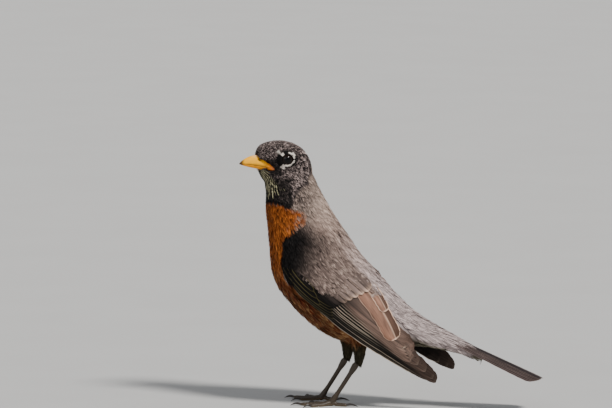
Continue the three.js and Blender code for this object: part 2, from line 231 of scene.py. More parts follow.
def piece(name, look, slot, verts, faces, colours, uvs=None, barbs=None, replaces=()):
    """A smooth mesh that rides on the bird, from points in millimetres and faces of one size.
    colours and barbs have a row for each point, uvs a row for each point or each corner."""
    mesh = bpy.data.meshes.new(name)
    corners = faces.astype(np.int32).ravel()
    mesh.vertices.add(len(verts))
    store(mesh.vertices, "co", verts * MM)
    mesh.loops.add(len(corners))
    mesh.loops.foreach_set("vertex_index", corners)
    mesh.polygons.add(len(faces))
    starts = np.arange(0, len(corners), faces.shape[1], dtype=np.int32)
    mesh.polygons.foreach_set("loop_start", starts)
    mesh.update(calc_edges=True)
    mesh.shade_smooth()
    layer = mesh.color_attributes.new("plume", "FLOAT_COLOR", "POINT")
    store(layer.data, "color", np.insert(colours, 3, 1.0, axis=1))
    if barbs is not None:
        store(mesh.attributes.new("barb", "FLOAT_VECTOR", "POINT").data, "vector", barbs)
    if uvs is not None:
        layer = mesh.uv_layers.new(name="OFBake")
        store(layer.data, "uv", uvs if len(uvs) == len(corners) else uvs[corners])
    mesh.materials.append(look)
    made = add_object(name, mesh)
    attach(made, "root")
    if replaces:
        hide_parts(*replaces)


def grid_faces(rows, columns, wrap=False):
    """The quads between the points of a grid. With wrap, its last column joins its first."""
    index = np.arange(rows * columns).reshape(rows, columns)
    if wrap:
        index = np.concatenate([index, index[:, :1]], axis=1)
    corners = [index[:-1, :-1], index[:-1, 1:], index[1:, 1:], index[1:, :-1]]
    return np.stack(corners, axis=-1).reshape(-1, 4)


def outward(verts, faces, middle):
    """Faces turned, if need be, to point away from the middle."""
    a, b, c = (verts[faces[:, k]] for k in range(3))
    normal = np.cross(b - a, c - a)
    return faces if np.sum(normal * (a - middle)) > 0 else faces[:, ::-1]


def join(parts):
    """Parts that each have points, faces and other rows for the points, as one."""
    verts, faces, *others = zip(*parts)
    starts = np.cumsum([0] + [len(v) for v in verts[:-1]])
    shifted = [f + start for f, start in zip(faces, starts)]
    return [np.concatenate(rows) for rows in (verts, shifted, *others)]


# ---- Materials ----


class Look:
    """A material whose Principled shader has its constant sockets set and the rest built on."""

    def __init__(self, name, **sockets):
        self.material = bpy.data.materials.new(name)
        self.material.use_nodes = True
        self.tree = self.material.node_tree
        self.shader = self.tree.nodes["Principled BSDF"]
        for socket, value in sockets.items():
            self.shader.inputs[socket.replace("_", " ")].default_value = value

    def node(self, kind, inputs=(), **settings):
        """A node with its settings, and its inputs set to values or linked to sockets."""
        made = self.tree.nodes.new(kind)
        for key, value in settings.items():
            setattr(made, key, value)
        for key, value in dict(inputs).items():
            if isinstance(value, bpy.types.NodeSocket):
                self.tree.links.new(value, made.inputs[key])
            else:
                made.inputs[key].default_value = value
        return made

    def math(self, operation, a, b=0.0):
        return self.node("ShaderNodeMath", {0: a, 1: b}, operation=operation).outputs[0]

    def noise(self, scale, detail=2.0):
        """Noise that is fixed to the object, with that many features in a metre."""
        where = self.node("ShaderNodeTexCoord").outputs["Object"]
        inputs = {"Vector": where, "Scale": scale, "Detail": detail}
        return self.node("ShaderNodeTexNoise", inputs).outputs["Fac"]

    def spread(self, value, low, high):
        """Maps a value from 0 to 1 to the range from low to high."""
        inputs = {"Value": value, "To Min": low, "To Max": high}
        return self.node("ShaderNodeMapRange", inputs).outputs["Result"]

    def grey(self, shade):
        return self.node("ShaderNodeCombineColor", {0: shade, 1: shade, 2: shade}).outputs[0]

    def use(self, socket, value):
        self.tree.links.new(value, self.shader.inputs[socket])

    def paint(self, shade):
        """Uses the colour that the mesh holds at its points, made lighter or darker by a shade."""
        own = self.node("ShaderNodeAttribute", attribute_name="plume").outputs["Color"]
        inputs = {"Factor": 1.0, 6: own, 7: self.grey(shade)}
        settings = {"data_type": "RGBA", "blend_type": "MULTIPLY"}
        self.use("Base Color", self.node("ShaderNodeMix", inputs, **settings).outputs[2])

    def bump(self, height, distance, strength):
        inputs = {"Height": height, "Distance": distance * MM, "Strength": strength}
        self.use("Normal", self.node("ShaderNodeBump", inputs).outputs["Normal"])


def plume_look():
    """Soft body feathers, and the skin that shows between them."""
    look = Look("plumage", Roughness=0.75, Specular_IOR_Level=0.1, Sheen_Weight=0.02,
                Sheen_Roughness=0.5)
    look.paint(look.spread(look.noise(1400, 3.0), 0.8, 1.22))
    look.bump(look.noise(3500), 0.05, 0.5)
    return look.material


BARB_SLANT = 1.3  # how far a barb runs towards the tip for each millimetre that it runs out
BARB_APART = 0.55


def vane_look():
    """Stiff flight feathers, with barbs that run out from the shaft at a slant."""
    look = Look("vane", Roughness=0.55, Specular_IOR_Level=0.09)
    barb = look.node("ShaderNodeAttribute", attribute_name="barb").outputs["Vector"]
    parts = look.node("ShaderNodeSeparateXYZ", {0: barb}).outputs
    out = look.math("ABSOLUTE", parts[0])
    along = look.math("SUBTRACT", parts[1], look.math("MULTIPLY", out, BARB_SLANT))
    line = look.math("SINE", look.math("MULTIPLY", along, 2 * math.pi / BARB_APART))
    long = look.node("ShaderNodeVectorMath", {0: barb, 1: (1.1, 0.09, 1.0)}, operation="MULTIPLY")
    inputs = {"Vector": long.outputs[0], "Scale": 1.0, "Detail": 3.0}
    streaks = look.node("ShaderNodeTexNoise", inputs).outputs["Fac"]
    look.paint(look.math("MULTIPLY", look.spread(line, 0.93, 1.04), look.spread(streaks, 0.2, 1.8)))
    look.bump(line, 0.03, 0.4)
    return look.material


def bill_look():
    """Horn: smooth, a little waxy, with faint growth lines."""
    look = Look("bill", Roughness=0.4, Specular_IOR_Level=0.1)
    look.paint(look.spread(look.noise(420, 3.0), 0.86, 1.12))
    look.bump(look.noise(1500), 0.03, 0.6)
    return look.material


def eye_look():
    """A dark iris under a clear, wet cornea."""
    look = Look("eye", Roughness=0.3, Specular_IOR_Level=0.0, Coat_Weight=1.0, Coat_Roughness=0.03,
                Coat_IOR=1.28)
    look.paint(look.spread(look.noise(2500), 0.8, 1.2))
    return look.material


def leg_look():
    """Scaly skin of the legs and toes."""
    look = Look("leg", Roughness=0.5)
    look.paint(look.spread(look.noise(900, 3.0), 0.75, 1.2))
    look.bump(look.noise(2200), 0.08, 0.7)
    return look.material


def claw_look():
    look = Look("claw", Roughness=0.28)
    look.paint(look.spread(look.noise(1200), 0.8, 1.25))
    return look.material


PLUME = plume_look()
VANE = vane_look()
BILL = bill_look()
EYE = eye_look()
LEG = leg_look()
CLAW = claw_look()

# ---- The wings' own frames ----
# A folded wing is drawn in its own plane: a runs from the bend of the wing to its tip, b up across it.

WING_SLOPE = {"left": 32.3, "right": 29.8}  # degrees below the horizontal
WING_TIP = (124.0, -4.2)  # its a and b
STEP = 1.0  # between the points of a grid that holds a wing's surface
GRID_A = np.arange(-14, 136, STEP)
GRID_B = np.arange(-14, 36, STEP)
BEYOND = 60.0  # this far out is clear of the wing
TOO_DEEP = 4.0  # what lies this near the bird's middle isn't a wing
LIFT_OFF_BODY = 0.5  # the wing's upper edge lies this far out from the body
EDGE_BAND = (-6, 0.5)  # measured up from that edge, where the wing comes in to the body
NO_EDGE = -9  # that edge's b where there is no wing
FILL_ROUNDS = 6  # of smoothing


def wing_frame(side):
    """A wing's axes, and how far out its CAD surface lies, on the grid over a and b."""
    slope = math.radians(WING_SLOPE[side])
    along = np.array([0, math.cos(slope), -math.sin(slope)])
    up = np.array([0, math.sin(slope), math.cos(slope)])
    nodes = [f"wing_{side}_{part}" for part in ("coverts", "secondaries", "primaries")]
    start = farthest(points(nodes[2]), along) - WING_TIP[0] * along - WING_TIP[1] * up
    wing = SimpleNamespace(side=SIDES[side], start=start, along=along, up=up)
    wing.out = laid_on_body(reach_out(wing, nodes), reach_out(wing, BODY))
    return wing


def reach_out(wing, nodes):
    """How far out CAD nodes reach at each a and b of the grid."""
    tree = tree_of(nodes)
    out = np.full((len(GRID_A), len(GRID_B)), np.nan)
    for i, j in np.ndindex(out.shape):
        spot = wing.start + GRID_A[i] * wing.along + GRID_B[j] * wing.up
        spot[0] = wing.side * BEYOND
        hit = tree.ray_cast(spot, (-wing.side, 0, 0), BEYOND - TOO_DEEP)[0]
        if hit:
            out[i, j] = abs(hit.x)
    return out


def laid_on_body(sheet, body):
    """A wing's surface, brought in near its upper edge to lie on the body."""
    top = np.array([GRID_B[row].max(initial=NO_EDGE) for row in ~np.isnan(sheet)])
    top = box_blur(top[:, None], 4, 0)
    over_body = box_blur(~np.isnan(body) * 1.0, 3, 3)
    sheet, body = fill(sheet), box_blur(fill(body), 1, 1) + LIFT_OFF_BODY
    on_body = ramp(*EDGE_BAND, GRID_B - top) * ramp(0.4, 1.0, over_body)
    return mix(sheet, np.minimum(sheet, body), on_body)


def box_blur(grid, down, across):
    """A grid with each value replaced by the mean of those up to so many cells away."""
    padded = np.pad(grid, [(down, down), (across, across)], mode="edge")
    window = 2 * down + 1, 2 * across + 1
    return np.lib.stride_tricks.sliding_window_view(padded, window).mean(axis=(2, 3))


def beside(grid, **edges):
    """The four neighbours of each of a grid's values."""
    padded = np.pad(grid, 1, **edges)
    return np.stack([padded[1:-1, :-2], padded[1:-1, 2:], padded[:-2, 1:-1], padded[2:, 1:-1]])


def fill(grid):
    """A grid with its empty places filled from their neighbours, then smoothed."""
    empty = np.isnan(grid)
    grown = grid.copy()
    while np.isnan(grown).any():
        around = beside(grown, constant_values=np.nan)
        count = np.sum(~np.isnan(around), axis=0)
        mean = np.nansum(around, axis=0) / np.maximum(count, 1)
        grown = np.where(np.isnan(grown) & (count > 0), mean, grown)
    for _ in range(FILL_ROUNDS):
        smoother = (grown * 4 + beside(grown, mode="edge").sum(axis=0)) / 8
        grown = np.where(empty, smoother, 0.5 * (grown + smoother))
    return grown


def on_wing(wing, a, b, depth):
    """Points at a and b on a wing's surface, or that deep under it."""
    i = np.clip((a - GRID_A[0]) / STEP, 0, len(GRID_A) - 1.001)
    j = np.clip((b - GRID_B[0]) / STEP, 0, len(GRID_B) - 1.001)
    i0, j0 = i.astype(int), j.astype(int)
    low = mix(wing.out[i0, j0], wing.out[i0, j0 + 1], j - j0)
    high = mix(wing.out[i0 + 1, j0], wing.out[i0 + 1, j0 + 1], j - j0)
    p = wing.start + a[..., None] * wing.along + b[..., None] * wing.up
    p[..., 0] = wing.side * (mix(low, high, i - i0) - depth)
    return p


def in_wing(wing, p):
    """The a and b of points."""
    q = p - wing.start
    return q @ wing.along, q @ wing.up


WINGS = {side: wing_frame(side) for side in SIDES}

# ---- Markings ----

HOOD = srgb(24, 20, 21)
# The hood's pale tips: partly the feathers' own paler tips, partly painted glints of light on the black.
HOOD_TIPS_AND_GLINTS = srgb(228, 204, 198)
BLACK = srgb(13, 11, 11)
WHITE = srgb(226, 216, 206)
# The throat's white, painted greyer and yellower than white: painted shade with a painted greenish
# reflection.
SHADED_THROAT_WHITE = srgb(192, 184, 148)
MANTLE = srgb(132, 112, 103)
MANTLE_TIPS = srgb(206, 182, 169)
# The nape's grey, lighter than the mantle: partly its own colour, partly painted light on the upper
# neck.
LIT_NAPE = srgb(174, 154, 142)
RUMP = srgb(164, 150, 148)
BREAST = srgb(120, 59, 18)
BREAST_TIPS = srgb(222, 130, 58)
BELLY = srgb(86, 33, 6)
SCALES = srgb(214, 172, 118)
# The vent's whitish grey, painted darker and greener: painted shade with a greenish reflection.
SHADED_VENT = srgb(104, 98, 80)
SHADED_VENT_TIPS = srgb(186, 178, 160)
WING = srgb(108, 92, 86)
# The near black of the wing's front: partly its own colour, partly painted shade.
WING_DARK_AND_SHADE = srgb(12, 10, 10)
THIGH = srgb(44, 40, 28)

# Where the hood ends behind and below, as (forward, up) in the head's axes.
HOOD_EDGE = [(-18, -2), (-16, -8), (-12, -16.5), (-7, -19.3), (-3.5, -21.8), (-2.3, -25.6),
             (-0.2, -30.4), (3.6, -31.2), (7.1, -29.4), (12, -28.6)]
NAPE_EDGE = -16.5  # the hood reaches no farther back than this
# The white throat's hind edge, as (up, forward) in the head's axes.
THROAT_EDGE = [(-28, 17), (-25.5, 11), (-22.3, 7.4), (-20, 4.6), (-18.5, 5), (-12.7, 9.3), (-8, 12.4),
               (-5, 16)]
THROAT_LINES = 46  # as many as would go all round the neck
# Where the breast's orange meets the grey of neck and back, as (up, back) from between the eyes.
BREAST_EDGE = [(-112, 64), (-104, 60), (-96, 40), (-85, 18.5), (-78, 10.5), (-65, 8), (-58, 9), (-53, 8),
               (-47, 12), (-43.5, 15), (-40, 17), (-36, 17), (-33, 14), (-31, 9), (-29, 3), (-27, -3),
               (-26, -11), (-24.5, -30)]
# The folded wing's front edge, shoulder and all, as (b, a).
WING_FRONT = [(-7, 20), (-4.6, 12), (-4.0, 7.5), (-3.2, 5.0), (2.9, -2.3), (5.6, -3.8), (12.8, -7),
              (16.7, -10.5), (25.7, -7.3), (30.7, -5.7), (36.3, -2.1), (44, 3)]
# The white marks round an eye: from and to in degrees, 0 to the rear and 90 up, then from and to
# in millimetres from its axis.
EYE_MARKS = [
    (10, 34, 4.0, 5.1),
    (26, 52, 4.6, 6.2),
    (46, 78, 4.25, 5.2),
    (131, 142, 6.0, 8.3),
    (119, 141, 4.0, 5.6),
    (226, 252, 4.0, 6.6),
    (246, 302, 3.5, 4.4),
    (296, 345, 3.6, 4.25),
    (336, 358, 4.0, 4.7),
]


def cover(tints, over, amount):
    """The colours at a feather's base and tip, covered with two others by an amount."""
    return [blend(tint, own, amount) for tint, own in zip(tints, over)]


def plumage(p, thigh):
    """The markings at points: the colours of the feathers' bases and tips, and how much the tips
    show. thigh says how much a point belongs to the thighs. The skin is painted by this too."""
    stir = waves(p, 9, 1) * 1.2 + waves(p, 3, 2) * 0.7
    around = unwrap(p)[:, 0]
    tints, shown = on_back(p)
    tints, shown = on_breast(p, around, stir, tints, shown)
    for wing in WINGS.values():
        tints = on_arm(wing, p, tints)
    tints = cover(tints, (THIGH, THIGH * 3), thigh)
    forward, _, up = to_head(p).T
    inside = np.minimum(up - within(HOOD_EDGE, forward), forward - NAPE_EDGE)
    hood = ramp(-1.0, 1.0, inside + stir * 0.6)
    # The hood's tips carry painted glints as well as their own paler colour.
    tints = cover(tints, (HOOD, HOOD_TIPS_AND_GLINTS), hood)
    shown = mix(shown, 0.38, hood) * (1 - 0.8 * hood * ramp(4, 1.5, inside))
    dark = on_lores(forward, up, hood)
    tints[0] = blend(tints[0], BLACK, dark)
    tints = on_throat(p, around * 2 * math.pi, hood, tints)
    for side in SIDES:
        tints = cover(tints, (WHITE, WHITE), eye_marks(side, p))
    return tints, shown * (1 - 0.85 * dark)


def on_back(p):
    """Grey nape, mantle and rump, with a dark patch down the neck's side that is partly painted shade,
    and a band of painted light on the lower back.
    """
    forward, _, up = to_head(p).T
    _, back, height = (p - BETWEEN_EYES).T
    far = ramp(30, 75, back)
    # Higher up, the grey turns to the nape's lighter grey, which is partly painted light.
    high = ramp(-48, -26, height)
    colour = blend(blend(MANTLE, RUMP, far), LIT_NAPE, high)
    # Darker down the front of the neck's side: partly the neck's own darker grey, partly painted shade.
    dark_neck_and_shade = ramp(30, 17, back) * ramp(-52, -46, height)
    colour = blend(colour, LIT_NAPE * 0.28, dark_neck_and_shade * 0.9)
    # A band of painted light across the lower back, where light falls on it.
    sunlit_band = ramp(38, 50, back) * ramp(72, 58, back)
    colour = colour * (1 + 0.3 * sunlit_band)[:, None]
    dusk = hill(forward + 7, 7) * hill(up + 26, 7)
    colour = blend(colour, HOOD * 2, 0.9 * dusk)
    return [colour, blend(MANTLE_TIPS, RUMP * 1.35, far)], 0.3 + 0.2 * dusk


def on_breast(p, around, stir, tints, shown):
    """Orange breast, darker scaled belly and a whitish vent, painted darker and greener with painted
    shade.
    """
    _, back, height = (p - BETWEEN_EYES).T
    soft = 1 + 3.5 * ramp(-50, -44, height) * ramp(-29, -33, height)
    in_front = within(BREAST_EDGE, height) - back
    orange = ramp(-soft, soft, in_front + stir * (1 + 0.4 * (soft - 1)))
    low = ramp(-62, -92, height)
    tints = cover(tints, (blend(BREAST, BELLY, low), blend(BREAST_TIPS, SCALES, low)), orange)
    shown = mix(shown, 0.45 - 0.17 * low, orange)
    vent = ramp(62, 80, back + stir) * ramp(0.31, 0.37, np.abs(around - 0.5) + stir * 0.01)
    return cover(tints, (SHADED_VENT, SHADED_VENT_TIPS), vent), shown


def on_arm(wing, p, tints):
    """A shoulder and a wing's small coverts: near black in front, partly their own dark colour and
    partly painted shade, and pale along the front's lower end.
    """
    a, b = in_wing(wing, p)
    from_front = a - within(WING_FRONT, b)
    here = ramp(11, 14, p[:, 0] * wing.side) * ramp(-0.6, 0.6, from_front)
    here = here * ramp(-8, -6, b) * ramp(40, 30, b) * ramp(70, 55, a)
    # Near black in front and low down: partly the coverts' own dark colour, partly painted shade.
    dark = ramp(32, 4, a + 0.5 * np.clip(b - 12, 0, 9)) * ramp(42, 24, b)
    dark = np.maximum(dark, ramp(12, 4, b + 0.25 * a))
    own = [blend(WING, WING_DARK_AND_SHADE, dark), blend(MANTLE_TIPS, WING_DARK_AND_SHADE * 6, dark)]
    rim = ramp(1.9, 0.6, from_front) * ramp(-7.5, -6, b) * ramp(-1, -2.5, b)
    return cover(tints, cover(own, (WHITE, WHITE), rim * 0.8), here)


def on_lores(forward, up, hood):
    """How black the head is between bill and eye, and behind the throat."""
    lores = ramp(15.5, 12.5, forward) * ramp(3.0, 5.0, forward)
    lores = lores * ramp(1.6, -0.4, up) * ramp(-13, -8, up)
    malar = ramp(-2.5, 0.5, forward) * ramp(-10, -14, up) * hood
    return np.clip(lores + malar, 0, 1)


def on_throat(p, angle, hood, tints):
    """The throat's black and white lines, with a ragged hind edge."""
    forward, left, up = to_head(p).T
    streak = np.sin(angle * THROAT_LINES + waves(p, 9, 4) * 1.6) + 0.35 * waves(p, 4, 5)
    between = np.maximum(ramp(-0.7, -0.1, streak), ramp(1.4, 0.8, np.abs(left)))
    # The white between the black lines carries painted shade and a painted greenish reflection.
    lines = blend(SHADED_THROAT_WHITE, BLACK, between)
    ragged = 1.5 * np.sin(angle * THROAT_LINES * 0.5 + 2.0) * ramp(-14, -20, up)
    throat = ramp(-0.8, 0.8, forward - within(THROAT_EDGE, up) + ragged)
    return cover(tints, (lines, lines), throat * ramp(-5.5, -7.5, up) * hood)


def white_at(angle, radius):
    """How white the marks round an eye are at an angle in degrees and a radius."""
    white = 0 * radius
    for start, stop, inner, outer in EYE_MARKS:
        here = ramp(start - 4, start + 3, angle) * ramp(stop + 4, stop - 3, angle)
        here = here * ramp(inner - 0.2, inner + 0.15, radius) * ramp(outer + 0.25, outer - 0.15, radius)
        white = np.maximum(white, here)
    return white


def eye_marks(side, p):
    """How white points on the head are from the marks round one eye."""
    middle, ahead, up, out = eye_frame(side)
    q = p - middle
    angle = np.degrees(np.arctan2(q @ up, -(q @ ahead))) % 360
    return white_at(angle, np.hypot(q @ up, q @ ahead)) * (q @ out > 0)


# ---- Skin ----

SKIN_GROW = 0.45  # closes the gaps between the flesh nodes
VOXEL = 1.0
OUTER_ROUNDS, SKIN_ROUNDS, NORMAL_ROUNDS, FLOW_ROUNDS = 14, 4, 6, 8  # of smoothing
LEAST_DEPTH = 0.3  # of the coat
# A small feather's length by how far from the bill it grows, and by that length the coat's depth.
LENGTHS = [(0, 1.4), (8, 1.9), (18, 3.2), (30, 4.6), (45, 7), (75, 9), (130, 10), (165, 12), (185, 16)]
DEPTHS = [(1.4, 0.4), (3.2, 0.8), (5, 1.2), (9, 1.7), (12, 1.5)]
ARM_END = (44, 50)  # beyond these a the arm's end is sunk, to lie under the large feathers
ARM_END_SINKS = 5.0
RUMP_END_THIN = 9.0  # this near its end, the rump is too thin for the coat's whole depth
SAME_WAY = 0.4  # the least cosine between two normals that still face the same way


def fused():
    """The flesh nodes and the wings' arms as one closed mesh: points and quads."""
    bm = bmesh.new()
    for node in BODY + THIGHS + ARMS:
        bm.from_mesh(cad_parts[node].data)
    bmesh.ops.remove_doubles(bm, verts=bm.verts, dist=0.001 * MM)
    bmesh.ops.recalc_face_normals(bm, faces=bm.faces)
    bm.normal_update()
    for vert in bm.verts:
        vert.co += vert.normal * SKIN_GROW * MM
    mesh = bpy.data.meshes.new("fused")
    bm.to_mesh(mesh)
    bm.free()
    holder = add_object("fused", mesh)
    remesh = holder.modifiers.new("remesh", "REMESH")
    remesh.mode = "VOXEL"
    remesh.voxel_size = VOXEL * MM
    bpy.context.view_layer.update()
    made = holder.evaluated_get(bpy.context.evaluated_depsgraph_get()).to_mesh()
    co = coordinates(made)
    quads = np.empty(len(made.loops), np.int32)
    made.loops.foreach_get("vertex_index", quads)
    bpy.data.objects.remove(holder)
    return co, quads.reshape(-1, 4)


def neighbour_mean(co, edges):
    """For each point, the mean of its neighbours."""
    ends = np.concatenate([edges, edges[:, ::-1]])
    count = np.bincount(ends[:, 0], minlength=len(co))[:, None]
    sums = [np.bincount(ends[:, 0], co[ends[:, 1], k], len(co)) for k in range(co.shape[1])]
    return np.stack(sums, axis=1) / np.maximum(count, 1)


def smoothed(co, edges, rounds):
    """Points smoothed without shrinking."""
    for _ in range(rounds):
        co = co + 0.6 * (neighbour_mean(co, edges) - co)
        co = co - 0.62 * (neighbour_mean(co, edges) - co)
    return co


def normals_of(co, quads):
    """The mean direction of the faces round each point."""
    a, b, c, d = (co[quads[:, k]] for k in range(4))
    total = np.zeros_like(co)
    np.add.at(total, quads, np.cross(c - a, d - b)[:, None])
    return unit(total)


def nearness(nodes, co, reach):
    """How near points are to CAD nodes: 1 on them, falling with a length called reach."""
    return np.exp(-distances(tree_of(nodes), co) / reach)


def shares(co, edges):
    """How much each point belongs to the wings' arms, and how much to the thighs."""
    near = [nearness(nodes, co, 0.8) for nodes in (BODY, ARMS, THIGHS)]
    total = sum(near)
    return [neighbour_mean((share / total)[:, None], edges)[:, 0] for share in near[1:]]


def coat_length(p, wing, thigh, from_end):
    """How long the feathers are at points. Under the rump's end they are short."""
    length = within(LENGTHS, apart(p, BILL_BASE))
    length = length * (1 - 0.3 * wing) * (1 - 0.4 * thigh)
    under = ramp(0.2, 0.35, np.abs(unwrap(p)[:, 0] - 0.5))
    return length * (1 - 0.65 * under * ramp(22, 6, from_end))


def build_skin():
    """The skin: one surface inside the flesh nodes by the coat's depth, with what grows on it."""
    co, quads = fused()
    edges = np.concatenate([quads[:, [k, (k + 1) % 4]] for k in range(4)])
    edges = np.unique(np.sort(edges, axis=1), axis=0)
    co = smoothed(co, edges, OUTER_ROUNDS)
    outer_normal = normals_of(co, quads)
    wing, thigh = shares(co, edges)
    from_end = points("rump")[:, 1].max() - co[:, 1]
    length = coat_length(co, wing, thigh, from_end)
    depth = within(DEPTHS, length) * (1 - nearness(BILL_HALVES, co, 2.5))
    depth = (SKIN_GROW + depth) * ramp(0, RUMP_END_THIN, from_end)
    co = sink_arm_ends(co - outer_normal * depth[:, None], wing)
    co = smoothed(co, edges, SKIN_ROUNDS)
    normal = normals_of(co, quads)
    for _ in range(NORMAL_ROUNDS):
        normal = unit(normal + neighbour_mean(normal, edges))
    skin = SimpleNamespace(co=co, quads=quads, edges=edges, normal=normal, wing=wing, thigh=thigh)
    skin.length, skin.depth = length, np.maximum(depth - SKIN_GROW, LEAST_DEPTH)
    # At the thin end of the rump the skin may turn over as it sinks. What has turned isn't sound.
    skin.sound = (dot(normal, outer_normal)[:, 0] > SAME_WAY) | (from_end > 2 * RUMP_END_THIN)
    skin.tree = kd_tree(co)
    skin.surface = BVHTree.FromPolygons(co.tolist(), quads.tolist())
    skin.flow = lie(skin)
    return skin


def sink_arm_ends(co, on_arms):
    """Points with the ends of the wings' arms moved in."""
    for wing in WINGS.values():
        a, _ = in_wing(wing, co)
        thin = on_arms * ramp(*ARM_END, a) * (co[:, 0] * wing.side > 0)
        co[:, 0] -= wing.side * ARM_END_SINKS * thin
    return co


def kd_tree(p):
    tree = KDTree(len(p))
    for i, place in enumerate(p.tolist()):
        tree.insert(place, i)
    tree.balance()
    return tree


# Knots of the line down the middle of the bird, from the bill's tip to the tail's.
SPINE_KNOTS = [
    farthest(points("bill_upper"), FORWARD),
    BILL_BASE,
    from_head(-2.0, 0.0, -4.0),
    centre("neck"),
    centre("trunk"),
    centre("rump"),
    farthest(points("tail"), Y) * [0, 1, 1],
]
SPINE_POINTS, SPINE_ROUNDS = 120, 60
SPINE = soften(resample(SPINE_KNOTS, np.linspace(0, 1, SPINE_POINTS)), SPINE_ROUNDS)
SPINE_WAY = unit(np.gradient(SPINE, axis=0))
SPINE_FAR = np.linspace(0, 1, SPINE_POINTS)[:, None]
AT_ONCE = 20000  # points, to spare memory


def along_spine(p, reach):
    """For points, the middle of the bird, its direction and how far down it they are, from 0 to 1."""
    found = []
    for part in np.array_split(p, max(1, len(p) // AT_ONCE)):
        square = np.sum((part[:, None] - SPINE[None]) ** 2, axis=2)
        weight = np.exp(-(square - square.min(axis=1, keepdims=True)) / reach**2)
        weight = weight / weight.sum(axis=1, keepdims=True)
        found.append(weight @ np.concatenate([SPINE, SPINE_WAY, SPINE_FAR], axis=1))
    found = np.concatenate(found)
    return found[:, :3], unit(found[:, 3:6]), found[:, 6]


def unwrap(p):
    """An unwrap of the skin's own shape: the angle round the spine and the way along it."""
    middle, way, far = along_spine(p, 8)
    dorsal = unit(np.cross(X, way))
    out = p - middle
    angle = np.arctan2(out @ X, np.sum(out * dorsal, axis=1))
    return np.stack([np.clip(0.5 + angle / (2 * math.pi), 0.002, 0.998), far], axis=1)


THIGH_WAY = unit(np.array([0, 0.25, -1.0]))
SHOULDER_TURN = np.radians(38)  # the most that feathers high on a shoulder point down from the wing


def lie(skin):
    """The direction in which feathers lie at each point of the skin."""
    p, normal = skin.co, skin.normal
    flow = blend(along_spine(p, 14)[1], unit(p - BILL_BASE), hill(apart(p, BILL_BASE), 15))
    flow = blend(flow, THIGH_WAY, skin.thigh)
    for wing in WINGS.values():
        a, b = in_wing(wing, p)
        steep = (SHOULDER_TURN * ramp(-2, 18, b) * ramp(58, 15, a))[:, None]
        along = np.cos(steep) * wing.along - np.sin(steep) * wing.up
        flow = blend(flow, along, skin.wing * (p[:, 0] * wing.side > 0))
    flow = across_normal(flow, normal)
    for _ in range(FLOW_ROUNDS):
        flow = across_normal(flow + neighbour_mean(flow, skin.edges), normal)
    for eye in EYES.values():
        flow = round_eye(p, normal, flow, eye)
    return flow


def round_eye(p, normal, flow, eye):
    """Turns feathers that would run over an eye to pass it above or below."""
    away = across_normal(p - eye, normal)
    into = np.minimum(dot(flow, away), 0)
    return unit(flow - away * into * ramp(9.5, 6.0, apart(p, eye))[:, None] * 1.25)


def show_skin(skin):
    """Paints the skin like the coat over it, a little darker."""
    (colours, tips), shown = plumage(skin.co, skin.thigh)
    painted = blend(colours, tips, 0.3 * shown) * 0.82
    uv = unwrap(skin.co)[skin.quads]
    wraps = np.ptp(uv[..., 0], axis=1) > 0.5
    uv[..., 0] = np.where(wraps[:, None] & (uv[..., 0] < 0.5), 1.0, uv[..., 0])
    piece("skin", PLUME, "mantle", skin.co, skin.quads, painted, uv.reshape(-1, 2),
          replaces=BODY + THIGHS + ARMS)


# ---- The coat ----

STRETCHES = 4  # in a feather's path over the skin
# Where the wing's large feathers begin to cover the small ones, as (b, a).
COVERED_FROM = [(-7, 10), (-3, 6), (5, 6), (5.6, 12), (6, 24), (6.5, 33), (8.5, 38), (22, 47), (30, 50)]
ROOTS_APART = (0.3, 0.17)  # for no length, and how much more for each millimetre of it
TRIES = 4.5  # random places for each square as wide as roots are apart
EYE_CLEAR = 5.9  # no feather is rooted this near an eye's centre
FOLD = 1.2  # or where skin lies this near over skin
PATCH = 0.003  # a tuft's size on the unwrap
MOST_TRIANGLES = 190000  # in one piece
LEAVES = 0.55  # a path leaves the skin where the cosine of its normal's turn falls below this
MOST_ASTRAY = 2.2  # a feather whose tip would lie farther than this from the outline isn't grown
# For each part of the body: its record slot, the barbs in a tuft, and how much they clump.
REGIONS = {
    "head": ("hood", 6, 0.4),
    "neck": ("mantle", 9, 0.2),
    "trunk": ("breast", 9, 0.4),
    "rump": ("rump", 9, 0.2),
    "thigh_left": ("breast", 9, 0.4),
    "thigh_right": ("breast", 9, 0.4),
    "wing_left_coverts": ("wing", 9, 0.3),
    "wing_right_coverts": ("wing", 9, 0.3),
}
# A barb is seven points, two at each station but the last, in five triangles.
STATIONS = np.array([0.0, 0.38, 0.74, 1.0])
STATION_WIDTHS = np.array([0.7, 1.35, 1.0, 0.0])
STATION_SHADES = np.array([0.68, 0.85, 1.0, 1.08])
BARB_POINTS = 7
BARB_TRIANGLES = np.array([[0, 1, 3], [0, 3, 2], [2, 3, 5], [2, 5, 4], [4, 5, 6]])


def scatter(skin):
    """Roots spread over the skin, closer together where feathers are short."""
    quads = skin.quads
    tris = np.concatenate([quads[:, [0, 1, 2]], quads[:, [0, 2, 3]]])
    a, b, c = (skin.co[tris[:, k]] for k in range(3))
    area = np.linalg.norm(np.cross(b - a, c - a), axis=1) / 2
    gap = ROOTS_APART[0] + ROOTS_APART[1] * skin.length[tris].mean(axis=1)
    tri = np.repeat(np.arange(len(tris)), rng.poisson(area * TRIES / gap**2))
    u, v = rng.random((2, len(tri)))
    flip = u + v > 1
    u, v = np.where(flip, 1 - u, u), np.where(flip, 1 - v, v)
    p = a[tri] + (b - a)[tri] * u[:, None] + (c - a)[tri] * v[:, None]
    tree = kd_tree(p)
    free = np.ones(len(p), bool)
    kept = []
    for i in rng.permutation(len(p)):
        if free[i]:
            kept.append(i)
            for _, j, _ in tree.find_range(p[i], gap[tri[i]]):
                free[j] = False
    return p[np.array(kept)]


